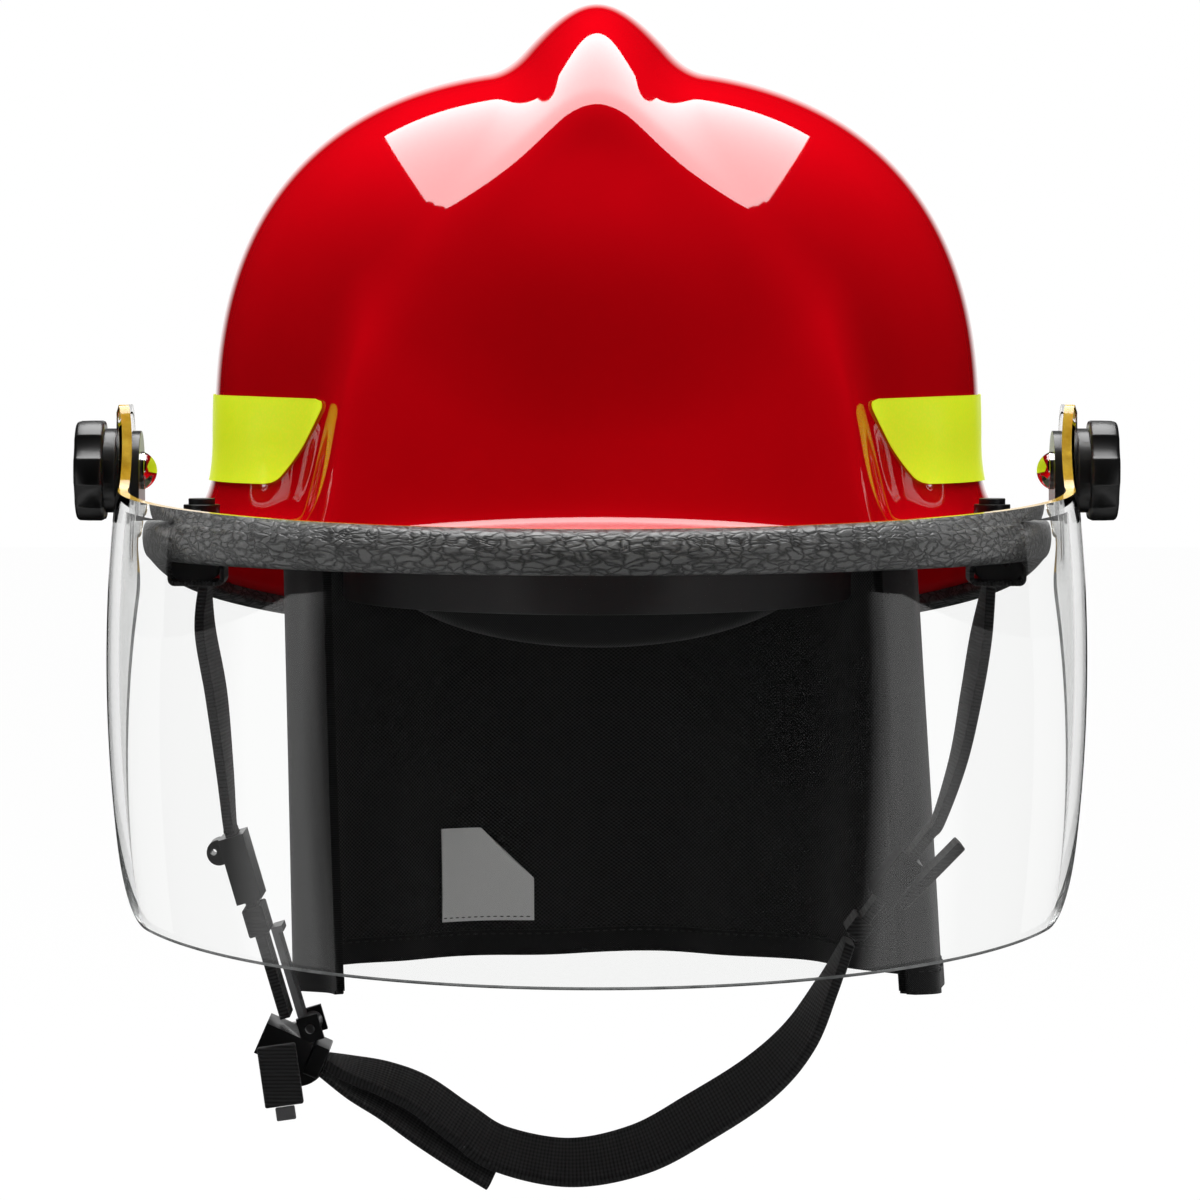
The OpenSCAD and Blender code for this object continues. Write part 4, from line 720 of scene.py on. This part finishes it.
def buildLens():
    # Rows from the lower edge to the upper one, of which the last few make the bevelled band
    half = np.linspace(0, 1, lens["columns"] + 1)
    side = np.concatenate([-half[:0:-1], half])[None, :]
    along, sign = np.abs(side), np.sign(side)
    y = lensXY(along, sign, 0, 0)[1]
    low, top = lensLow(y), lensTop(y)
    up = np.linspace(0, 1, lens["rows"])[:, None]
    z = mix(low, top, up)
    for fromTop, row in ((lens["bandHigh"] + lens["line"], -3), (lens["bandHigh"], -2)):
        z[row] = np.minimum(top - fromTop, mix(low, top, 0.97))[0]
    z[-4] = mix(z[-5], z[-3], 0.5)
    z[1] = z[0] + lens["lowLine"]
    grids = []
    for depth in (0.0, lens["thick"]):
        inward = depth + 0 * z
        if depth == 0:
            inward[-1] = lens["bandDeep"]
        x, yy = lensXY(along + 0 * z, sign + 0 * z, z, inward)
        grids.append(points(x, yy, z))
    obj = slabMesh("visor_lens_piece", grids[0], grids[1], sharp=30)
    for key in ("lens", "amber", "greyEdge"):
        obj.data.materials.append(finish[key])
    faces = len(obj.data.polygons)
    centre = np.zeros(faces * 3, np.float32)
    obj.data.polygons.foreach_get("center", centre)
    heights = centre.reshape(-1, 3)[:, 2] / mm
    kind = np.zeros(faces, np.int32)
    rim = np.arange(faces) >= obj["innerTo"]
    kind[rim] = np.where(heights[rim] > -6, 1, 2)
    cols = grids[0].shape[1] - 1
    kind[(lens["rows"] - 3) * cols:(lens["rows"] - 2) * cols] = 1
    kind[:cols] = 2
    obj.data.polygons.foreach_set("material_index", kind)
    dress(obj, "visor", "lens", "visor_lens")


buildLens()
print("patches and lens made")

# Shield knobs: a plain skirt and a head of six shallow lobes with a domed face. The outline goes
# along the axis: how far out, the radius, and how much of the lobes' hollows it has
knob = {"lobes": 6, "hollow": 1.4, "hollowHalf": 15, "x": 143.9, "y": -55, "z": 25, "outline": [
    (0.3, 0, 0), (0.3, 3.1, 0), (0.3, 12.2, 0), (0.6, 12.6, 0), (1.0, 12.7, 0), (3.9, 12.7, 0),
    (4.1, 13.0, 0.2), (4.2, 14.7, 1), (4.5, 15.2, 1), (5.2, 15.5, 1), (8.6, 15.5, 1), (11.6, 15.4, 1),
    (12.3, 15.0, 1), (12.7, 14.3, 1), (12.85, 13.2, 0.8), (12.6, 12.2, 0.3), (12.75, 11.4, 0),
    (13.2, 8, 0), (13.4, 4, 0), (13.45, 0, 0)]}


def buildKnob(side, name, body):
    # The outline turned round the axis, with its radius less in the hollows between the lobes
    turn = np.arange(0, 360, 1.5)[None, :]
    out, radius, share = np.array(knob["outline"]).T[:, :, None]
    pitch = 360 / knob["lobes"]
    hollow = np.clip(1 - sq((turn % pitch - pitch / 2) / knob["hollowHalf"]), 0, 1) ** 0.8
    r = radius - knob["hollow"] * hollow * share
    t = np.radians(turn)
    rows = points(side * (knob["x"] + out), knob["y"] + r * np.cos(t), knob["z"] + r * np.sin(t))
    obj = fillMesh(name + "_piece", rows.reshape(-1, 3), gridQuads(*rows.shape[:2], False, True))
    dress(tidyMesh(obj, sharp=48), body, "knob", name)


buildKnob(-1, "visor_knob_left", "knob_left")
buildKnob(1, "visor_knob_right", "knob_right")

for name in ("pivot_bracket_left", "pivot_bracket_right"):
    roundedCopy(name, "helmet", "black", 0.7)
for name in ("pivot_bolt_left", "pivot_bolt_right"):
    roundedCopy(name, "helmet", "chrome", 0.15, 2)
roundedCopy("bracket_screws", "helmet", "screw", 0.35)
print("knobs and brackets made")

# Foam liner: the dome drawn in twice, with vent channels pressed into its inner face
liner = {"gap": 0.8, "thick": 13, "lowZ": 20, "columns": 240, "rows": 60, "channels": 12, "channelDeep": 2.2}


def linerWall(inset, channels=0.0):
    # The dome's distance less an inset, with channels that run upwards and fade at both ends
    bearing = np.arange(liner["columns"])[None] * 360 / liner["columns"]
    lift = np.linspace(0, 90, liner["rows"])[:, None]
    d = rayOf(bearing, lift)
    groove = np.clip(np.cos(np.radians(bearing * liner["channels"])) * 3 - 2, 0, 1)
    groove = groove * np.clip(np.sin(np.radians(lift * 2)) * 1.5, 0, 1)
    wall = domeCentre + d * (domeDist(d, inset) + channels * groove)[..., None]
    foot = wall[:1].copy()
    foot[..., 2] = liner["lowZ"]
    return np.concatenate([foot, wall])


def buildLiner():
    # The outer wall from its top down, then the inner one back up
    first = shell["wall"] + liner["gap"]
    rows = np.concatenate([linerWall(first)[::-1], linerWall(first + liner["thick"], liner["channelDeep"])])
    dress(shellMesh("impact_liner_piece", rows), "helmet", "foam", "impact_liner")


buildLiner()

# Headband outline, which the pads follow
band = {"halfWidth": 78, "front": 84, "midY": 26, "high": 34, "thick": 1.8}


def bandXY(bearing, grow):
    # Half an ellipse in front and half a circle behind
    b = np.radians(bearing)
    a, ahead = band["halfWidth"] + grow, band["front"] + band["midY"] + grow
    r = np.where(np.cos(b) > 0, 1 / np.hypot(np.sin(b) / a, np.cos(b) / ahead), a)
    return r * np.sin(b), band["midY"] - r * np.cos(b)


browPad = {"half": 72, "thick": 5, "gap": 0.3, "high": 30, "channels": 9}
napePad = {"half": 54, "thick": 5, "gap": 0.3, "drop": 17}


def padGrid(bearing, low, high, gap, thick, channels):
    # Pad faces: the outer one follows the band, and the inner one is crowned between sewn channels.
    u = np.linspace(-1, 1, bearing.shape[1])[None, :]
    s = np.linspace(0, 1, 48)[:, None]
    z = mix(low, high, s)
    edge = np.clip(np.minimum(s, 1 - s) / 0.16, 0, 1)
    ends = np.clip((1 - np.abs(u)) / 0.05, 0, 1)
    crown = (1 - (1 - edge) ** 2) ** 0.5 * (1 - (1 - ends) ** 2) ** 0.5
    puff = 0.8 + 0.2 * np.abs(np.sin(np.radians(90 * channels * (u + 1)))) ** 0.5
    grids = []
    for grow in (-gap + 0 * z, -gap - thick * np.clip(crown * puff, 0.16, 1)):
        x, y = bandXY(bearing + 0 * s, grow)
        grids.append(points(x, y, z + 0 * x))
    uv = np.stack(np.broadcast_arrays(bearing * 1.4 * mm, z * mm), -1)
    return grids, uv


def buildPads():
    # The brow pad is a level strip, and the nape pad hangs lowest in its middle
    turn = np.linspace(-browPad["half"], browPad["half"], 260)[None, :]
    half = browPad["high"] / 2
    sizes = browPad["gap"], browPad["thick"], browPad["channels"]
    grids, uv = padGrid(turn, -half + 0 * turn, half + 0 * turn, *sizes)
    pad = dress(slabMesh("brow_pad_piece", *grids, uv, 60), "helmet", "pad", "brow_pad")
    u = np.linspace(-1, 1, 240)[None, :]
    foot = -band["high"] / 2
    low = foot - 4 - napePad["drop"] * (1 - sq(u))
    grids, uv = padGrid(180 + napePad["half"] * u, low, foot + 6 + 0 * u, napePad["gap"], napePad["thick"], 1)
    pad = dress(slabMesh("nape_pad_piece", *grids, uv, 60), "helmet", "pad", "nape_pad")


buildPads()
roundedCopy("headband", "helmet", "band", 0.5)
roundedCopy("suspension_clips", "helmet", "band", 0.6)
roundedCopy("ratchet_housing", "helmet", "band", 0.7)
roundedCopy("ratchet_knob", "ratchet", "knob", 0.5)
roundedCopy("ratchet_pinion", "ratchet", "pale", 0.1, 2)
roundedCopy("band_tail_left", "tail_left", "pale", 0.3)
roundedCopy("band_tail_right", "tail_right", "pale", 0.3)

# Crown webbing: arcs over the head that cross at one point
crown = {"turns": (35, 90, 145), "y": 10, "z": 108, "footZ": 20.0, "width": 20, "thick": 1.6}


def bandReach(turn):
    # Level distance from the crown's middle to the headband along a bearing
    t = math.radians(turn)
    c = crown["y"] - band["midY"]
    a = band["halfWidth"]

    def hit(b):
        p = sq(math.sin(t) / a) + sq(math.cos(t) / b)
        q = c * math.cos(t) / sq(b)
        return (q + math.sqrt(sq(q) - p * (sq(c / b) - 1))) / p

    ahead = hit(band["front"] + band["midY"])
    return ahead if crown["y"] - ahead * math.cos(t) < band["midY"] else hit(a)


def buildCrown():
    # Each web is half an ellipse over the head, from the headband's front to its rear
    outline = roundedBar(crown["width"], crown["thick"], 0.6)
    for k, turn in enumerate(crown["turns"]):
        ahead, back = (bandReach(turn + way) - crown["thick"] / 2 for way in (0, 180))
        a = np.radians(np.linspace(0, 180, 120))
        along = np.where(a < math.pi / 2, ahead, back) * np.cos(a)
        t = math.radians(turn)
        z = crown["footZ"] + (crown["z"] - crown["footZ"] - crown["thick"] / 2) * np.sin(a)
        path = points(along * math.sin(t), crown["y"] - along * math.cos(t), z)
        wide = np.tile([math.cos(t), math.sin(t), 0.0], (len(path), 1))
        obj = sweptBar(f"crown_strap_{k + 1}", path, wide, outline)
        dress(obj, "helmet", "webbing")
    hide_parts("crown_straps")


buildCrown()
print("liner and suspension made")

# Neck cover: a curtain with a mesh inner face, a bound hem and bound front edges
cover = {"halfWidth": 99, "rear": 126.5, "midY": 40, "front": 33, "turn": 120, "power": 2.05, "topZ": 19.7,
         "drop": 141, "cornerDrop": 2, "fold": 5, "waves": (540, 20), "smallWaves": (1260, 0.6),
         "creases": (2600, 150, 0.35), "leanLeft": 5, "leanRight": 11, "thick": 2.4,
         "columns": 420, "rows": 130, "hemHigh": 8, "bindWide": 4.5}


def coverPoint(across, down, off):
    # Half superellipse in plan, pushed in and out by folds that grow towards the hem
    turn = np.radians(np.abs(across) * cover["turn"])
    c = np.abs(np.sin(turn)) ** (2 / cover["power"])
    s = np.abs(np.cos(turn)) ** (2 / cover["power"]) * np.sign(np.cos(turn))
    reach = np.where(s < 0, cover["front"], cover["rear"] - cover["midY"])
    (wave, start), (fine, fineShare) = cover["waves"], cover["smallWaves"]
    crease, drift, creaseShare = cover["creases"]
    folds = np.sin(np.radians(across * wave + start)) * (1 - np.abs(across))
    folds = folds + fineShare * np.sin(np.radians(across * fine))
    small = creaseShare * np.sin(np.radians(across * crease + down * drift))
    small = small * ease(down * 3) * (1 - 0.6 * down)
    out = cover["fold"] * down * folds + small + off
    lean = np.where(across < 0, cover["leanLeft"], cover["leanRight"]) * down * ease(np.abs(across) * 2 - 0.6)
    hem = cover["drop"] + cover["cornerDrop"] * ease((np.abs(across) - 0.35) / 0.5)
    x = np.sign(across) * (cover["halfWidth"] + out) * c + lean
    return points(x, cover["midY"] + (reach + out) * s, mix(cover["topZ"], -hem, down))


def coverUv(across, down):
    # Cloth coordinates in metres by the shares across and down
    return np.stack(np.broadcast_arrays(across * 0.17, down * 0.162), -1)


def foldedBand(name, steps, share, off, place, pinch=0.0):
    # A band folded over an edge: down its outer face and up its inner one. place gives the
    # places on the cover from the way over the fold and the way along the edge
    half = cover["thick"] / 2
    line = np.linspace(1 - share, 1, steps)
    level = np.repeat([half + off, -half - off], steps)[:, None]
    across, down = np.broadcast_arrays(*place(np.concatenate([line, line[::-1]])[:, None]))
    rows = coverPoint(across, down, level)
    rows[steps - 1:steps + 1, :, 2] -= pinch
    inside = coverPoint(across, down, np.sign(level) * (half - 0.3))
    return slabMesh(name, rows, inside, coverUv(across, down), 60)


def buildCover():
    # The curtain, its hem, the binding of both front edges, and the rows of stitches
    across = np.linspace(-1, 1, cover["columns"])[None, :]
    down = np.linspace(1, 0, cover["rows"])[:, None]
    half = cover["thick"] / 2
    outer, inner = coverPoint(across, down, half - 0.1), coverPoint(across, down, 0.1 - half)
    obj = slabMesh("neck_cover_piece", outer, inner, coverUv(across, down), 60)
    obj.data.materials.append(finish["cover"])
    obj.data.materials.append(finish["mesh"])
    kind = np.zeros(len(obj.data.polygons), np.int32)
    kind[obj["innerFrom"]:obj["innerTo"]] = 1
    obj.data.polygons.foreach_set("material_index", kind)
    dress(obj, "helmet", "cover", "neck_cover")
    step, width = cover["hemHigh"] / (cover["drop"] + cover["topZ"]), cover["bindWide"] / 170
    along, run = np.linspace(-0.985, 0.985, 400)[None, :], np.linspace(0.01, 0.995, 160)[None, :]
    extra = [foldedBand("cover_hem", 9, step, 0.25, lambda over: (along, over), 0.4)]
    for side, name in ((-1, "cover_binding_left"), (1, "cover_binding_right")):
        extra.append(foldedBand(name, 7, width, 0.3, lambda over: (side * over, run)))
    for piece in extra:
        dress(piece, "helmet", "cover")
    seam = np.linspace(-0.97, 0.97, 500)
    for off, name in ((-half - 0.35, "hem_stitches_in"), (half + 0.35, "hem_stitches_out")):
        at, under = (coverPoint(seam, 0 * seam + 1 - step * 0.85, off * deep) for deep in (1, 0.3))
        out = at - under
        extra.append(dress(stitchRow(name, at, out), "helmet", "thread", slotName="cover_cloth"))


buildCover()
roundedCopy("cover_snaps", "helmet", "snap", 0.4)

# Care label: a blank tag, sewn along its lower edge, with one corner folded over
tag = {"share": 0.08, "mark": -0.185, "low": 0.93, "high": 31, "gap": 0.35, "thick": 0.5,
       "fold": 0.34, "pull": 0.18, "curl": 1.2}


def buildLabel():
    # A patch of the cover's inner face, with one corner drawn in along its diagonal and lifted
    u = np.linspace(0, 1, 50)[None, :]
    v = np.linspace(0, 1, 50)[:, None]
    corner = np.clip((u + v - (2 - 1.6 * tag["fold"])) / tag["fold"], 0, None)
    across = mix(tag["mark"] - tag["share"], tag["mark"] + tag["share"], u - tag["pull"] * corner)
    down = tag["low"] - tag["high"] / (cover["drop"] + cover["topZ"]) * (v - tag["pull"] * corner)
    lift = tag["curl"] * ease(corner) + 0.25 * np.sin(u * 7 + v * 3)
    base = -cover["thick"] / 2 - tag["gap"]
    outer, inner = coverPoint(across, down, base - lift - tag["thick"]), coverPoint(across, down, base - lift)
    uv = np.stack(np.broadcast_arrays(u * 0.03, v * 0.031), -1)
    obj = slabMesh("care_label_piece", outer, inner, uv, 60)
    dress(obj, "helmet", "label", "care_label")
    thread = stitchRow("label_stitches", outer[2], outer[2] - inner[2], 2.2, 1.4, 0.2)
    dress(thread, "helmet", "thread", slotName="label_cloth")


buildLabel()
print("neck cover made")

# Chin strap webbing: routes as x, y, z and twist
strap = {"width": 19, "thick": 3.2, "y": -4.559}
leftRoute = [[122, 0, -12.2, 0], [122, 0, -26, 8], [118.5, 0, -46, 9], [115.8, 0, -70, 4],
             [114.3, 0, -86.8, 0], [113.2, 0, -90.6, 0], [105, 0, -118.4, 0], [96.8, 0, -146.2, 0]]
rightRoute = [[122, 0, -12.2, 0], [119.5, 0, -28, 9], [116.5, 0, -46, 9], [112.5, 0, -66, 5],
              [106.3, 0, -84.9, 0], [103, 0, -89.3, 0], [96, 0, -98.6, 0], [79, 0, -121.2, 0]]
lowerRoute = [[-84.3, 0, -160.6, 0], [-77.5, 0, -163, -10], [-66, 0, -166.4, -20], [-54.9, 0, -171.4, -26],
              [-42.5, 0, -180.4, -30], [-30, 0, -188.4, -34], [-8.4, 0, -192.6, -38], [13.3, 0, -188.4, -42],
              [31.9, 0, -178.4, -44], [50.5, 0, -166.2, -40], [62.9, 0, -153.4, -28], [71.4, 0, -138, -12],
              [78.2, 0, -123.2, 0]]
tailRoute = [[-85.9, 0, -163.8, 0], [-76, 0, -169.4, -12], [-65.7, 0, -174.6, -20], [-54, 0, -182.4, -24],
             [-42, 0, -190, -26], [-32, 0, -195.8, -28]]


def webbing(name, route, thick, body, node=None):
    # A flat bar carried along the route, level across it but for the twist
    path = smoothRoute(route)
    place, twist = path[:, :3] + [0, strap["y"], 0], np.radians(path[:, 3])
    ahead = unit(np.gradient(place, axis=0))
    e = unit(points(ahead[:, 2], 0, -ahead[:, 0]))
    across = np.cos(twist)[:, None] * [0, 1, 0] + np.sin(twist)[:, None] * e
    obj = sweptBar(name, place, across, roundedBar(strap["width"], thick, min(0.7, thick / 2.4)))
    nodes = [node] if node else []
    return dress(obj, body, "webbing", *nodes)


hangerLow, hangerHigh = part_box("strap_hanger_right")
hangerBar = {"inX": hangerLow[0] / mm, "outX": hangerHigh[0] / mm, "lowZ": -10, "barHigh": 3.4,
             "gap": 0.3, "web": 1.6}


def buildUpperStrap(side, route, name):
    # The webbing, and its loop round the hanger's bar as a ring of one section
    mirrored = [[side * x, y, z, side * twist] for x, y, z, twist in route]
    webbing(name + "_piece", mirrored, strap["thick"], "helmet", name)
    h = hangerBar
    wide = (h["outX"] - h["inX"]) / 2 + h["gap"] + h["web"] / 2
    tall = h["barHigh"] / 2 + h["gap"] + h["web"] / 2
    ring = roundedBar(2 * wide, 2 * tall, 1.6, 7)
    mid = np.array([side * (h["inX"] + h["outX"]) / 2, strap["y"], h["lowZ"] + h["barHigh"] / 2])
    path = mid + points(ring[:, 0], 0, ring[:, 1])
    ahead = unit(np.roll(path, -1, axis=0) - np.roll(path, 1, axis=0))
    up = np.cross(ahead, [0, 1, 0])
    section = roundedBar(strap["width"], h["web"], 0.5)
    rows = path[:, None] + section[None, :, :1] * np.array([0, 1, 0]) + up[:, None] * section[None, :, 1:]
    run = np.concatenate([[0], np.cumsum(np.linalg.norm(np.diff(path, axis=0), axis=1))])
    uv = np.stack(np.broadcast_arrays(section[None, :, 0] + 50, run[:, None]), -1) * mm
    dress(ringMesh(name + "_loop", rows, uv.reshape(-1, 2)), "helmet", "webbing")


buildUpperStrap(-1, leftRoute, "upper_strap_left")
buildUpperStrap(1, rightRoute, "upper_strap_right")
lower = webbing("lower_strap_piece", lowerRoute, strap["thick"], None, "lower_strap")
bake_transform(lower)
webbing("strap_tail_piece", tailRoute, 1.6, "plug", "strap_tail")

for name in ("strap_hanger_left", "strap_hanger_right", "strap_guide", "buckle_socket"):
    roundedCopy(name, "helmet", "black", 0.6)
roundedCopy("hanger_rivets", "helmet", "snap", 0.3)
roundedCopy("buckle_plug", "plug", "black", 0.5)
roundedCopy("strap_adjuster", "adjuster", "black", 0.6)
roundedCopy("release_lever", "lever", "grey", 0.35)
roundedCopy("lever_pin", "helmet", "steel", 0.3)
roundedCopy("tab_tip", "helmet", "grey", 0.4)


def clothUv(obj):
    # UV in metres from the mesh's own place: width along Y, length along Z
    mesh = obj.data
    co = np.zeros(len(mesh.vertices) * 3, np.float32)
    mesh.vertices.foreach_get("co", co)
    co = co.reshape(-1, 3)
    order = np.zeros(len(mesh.loops), np.int32)
    mesh.loops.foreach_get("vertex_index", order)
    uv = np.stack([co[order, 1] + 0.1, co[order, 2] + 0.3], -1)
    mesh.uv_layers.new(name="UVMap").data.foreach_set("uv", uv.astype(np.float32).ravel())


for name in ("strap_keeper_left", "strap_keeper_right", "strap_end", "pull_tab"):
    clothUv(roundedCopy(name, "helmet", "webbing", 0.6))
print("chin strap made")

# Studio: white behind for the camera, a pale floor, and dark surroundings in mirrored light, but
# for white straight behind and on the floor before both sides. Less light comes from ahead. The
# floor's mirrored tones go by how far a place lies to the front, from 0 behind the helmet to 1
# straight ahead of it
studio = {"floorZ": -0.26, "floorSize": 12.0, "floorPale": (0.25, 0.25, 0.25, 1), "floorGlow": 0.95,
          "glowPower": 1.03, "around": 0.75, "ahead": 0.05, "frontDark": (0.45, 0.7), "frontTop": (0.6, 0.9),
          "dark": 0.002, "behind": (0.925, 0.98),
          "floorTones": [(0.3, 0.0), (0.36, 0.3), (0.74, 0.35), (0.79, 1.0), (0.87, 1.0), (0.895, 0.0)]}
# Level softbox over the helmet: middle, size in metres and power in watts
softbox = {"place": (0.0, 0.22, 1.25), "size": 1.4, "power": 42.0}


def frontShare(tree, x, y):
    # How far a direction or place points to the front: 1 straight ahead of the helmet.
    squares = [mathOf(tree, "MULTIPLY", v, v) for v in (x, y)]
    level = mathOf(tree, "SQRT", mathOf(tree, "ADD", *squares))
    return mathOf(tree, "DIVIDE", mathOf(tree, "MULTIPLY", y, -1.0), mathOf(tree, "ADD", level, 0.0001))


def greyOf(tree, value):
    # A grey colour from a value
    return addNode(tree, "ShaderNodeCombineColor", Red=value, Green=value, Blue=value).outputs["Color"]


def rayKinds(tree, y):
    # Shares of mirrored light, and of light seen straight or through the lens. Light off the lens's
    # inner face from ahead isn't among the second, unless it comes by way of a dull surface
    path = addNode(tree, "ShaderNodeLightPath").outputs
    fresh = mathOf(tree, "LESS_THAN", path["Diffuse Depth"], 0.5)
    straight = mathOf(tree, "LESS_THAN", path["Glossy Depth"], 0.5)
    dulled = mathOf(tree, "SUBTRACT", 1.0, fresh)
    behind = mathOf(tree, "MAXIMUM", mathOf(tree, "GREATER_THAN", y, 0.0), dulled)
    through = mathOf(tree, "MULTIPLY", path["Is Transmission Ray"], mathOf(tree, "MAXIMUM", straight, behind))
    direct = mathOf(tree, "MINIMUM", mathOf(tree, "ADD", path["Is Camera Ray"], through), 1.0)
    return mathOf(tree, "MULTIPLY", path["Is Glossy Ray"], fresh), direct


def buildWorld():
    # Plain surroundings for dull light, mirrored ones for gloss, and white where seen
    world = bpy.data.worlds.new("studioWorld")
    bpy.context.scene.world = world
    world.use_nodes = True
    tree = world.node_tree
    x, y, z = splitOf(tree, addNode(tree, "ShaderNodeTexCoord").outputs["Generated"])
    glossy, direct = rayKinds(tree, y)
    ahead = rangeOf(tree, frontShare(tree, x, y), 0, 1, *studio["frontDark"])
    dim = mathOf(tree, "MULTIPLY", ahead, rangeOf(tree, z, 1, 0, *studio["frontTop"]))
    tones = (rangeOf(tree, dim, studio["around"], studio["ahead"], 0, 1),
             rangeOf(tree, y, studio["dark"], 1, *studio["behind"]), 1.0)
    plain, mirrored, seen = (addNode(tree, "ShaderNodeBackground", Color=greyOf(tree, tone), Strength=1.0)
                             .outputs["Background"] for tone in tones)
    last = mixShaders(tree, direct, mixShaders(tree, glossy, plain, mirrored), seen)
    wire(tree.nodes["World Output"], Surface=last)


def buildFloor():
    # Matt in dull light, with mirrored tones for gloss, and near white where seen
    material, tree, shader = newMaterial("studioFloor", Base_Color=studio["floorPale"], Roughness=0.9,
                                         Specular_IOR_Level=0.0)
    x, y = splitOf(tree, objectCoords(tree))[:2]
    glossy, direct = rayKinds(tree, y)
    ahead = rangeOf(tree, frontShare(tree, x, y), 0, 1, -1, 1)
    stops = [(place, (tone,) * 3) for place, tone in studio["floorTones"]]
    mirrored = addNode(tree, "ShaderNodeEmission", Color=rampOf(tree, ahead, stops), Strength=1.0)
    glow = addNode(tree, "ShaderNodeEmission", Color=(1, 1, 1, 1), Strength=studio["glowPower"])
    lit = mixShaders(tree, glossy, shader.outputs["BSDF"], mirrored.outputs["Emission"])
    share = mathOf(tree, "MULTIPLY", direct, studio["floorGlow"])
    wire(tree.nodes["Material Output"], Surface=mixShaders(tree, share, lit, glow.outputs["Emission"]))
    s = studio["floorSize"] / mm / 2
    corners = np.array([[-s, -s, 0], [s, -s, 0], [s, s, 0], [-s, s, 0]]) + [0, 0, studio["floorZ"] / mm]
    floor = fillMesh("studio_floor", corners, np.array([[0, 1, 2, 3]]), closed=False)
    floor.data.materials.append(material)


def buildSoftbox():
    # A square lamp that points straight down
    data = bpy.data.lights.new("over", "AREA")
    data.shape = "SQUARE"
    data.size, data.energy = softbox["size"], softbox["power"]
    lamp = bpy.data.objects.new("over", data)
    lamp.location = softbox["place"]
    bpy.context.scene.collection.objects.link(lamp)


buildWorld()
buildFloor()
buildSoftbox()

# Camera: 1.8 m in front and 3 degrees above, with its axis through the image's centre
shot = {"distance": 1.8, "elevation": 3.0, "targetZ": -0.017, "offsetX": 0.00093, "fieldWidth": 0.3732}


def buildCamera():
    # The lens's length is the sensor times the distance over the field's width
    data = bpy.data.cameras.new("shotCamera")
    data.sensor_width = 36
    data.lens = 36 * shot["distance"] / shot["fieldWidth"]
    data.clip_end = 50
    camera = bpy.data.objects.new("shotCamera", data)
    rise = shot["distance"] * math.tan(math.radians(shot["elevation"]))
    camera.location = (shot["offsetX"], -shot["distance"], shot["targetZ"] + rise)
    camera.rotation_euler = (math.radians(90 - shot["elevation"]), 0, 0)
    bpy.context.scene.collection.objects.link(camera)
    bpy.context.scene.camera = camera


buildCamera()
bpy.context.scene.view_settings.view_transform = "Standard"
print("studio made")
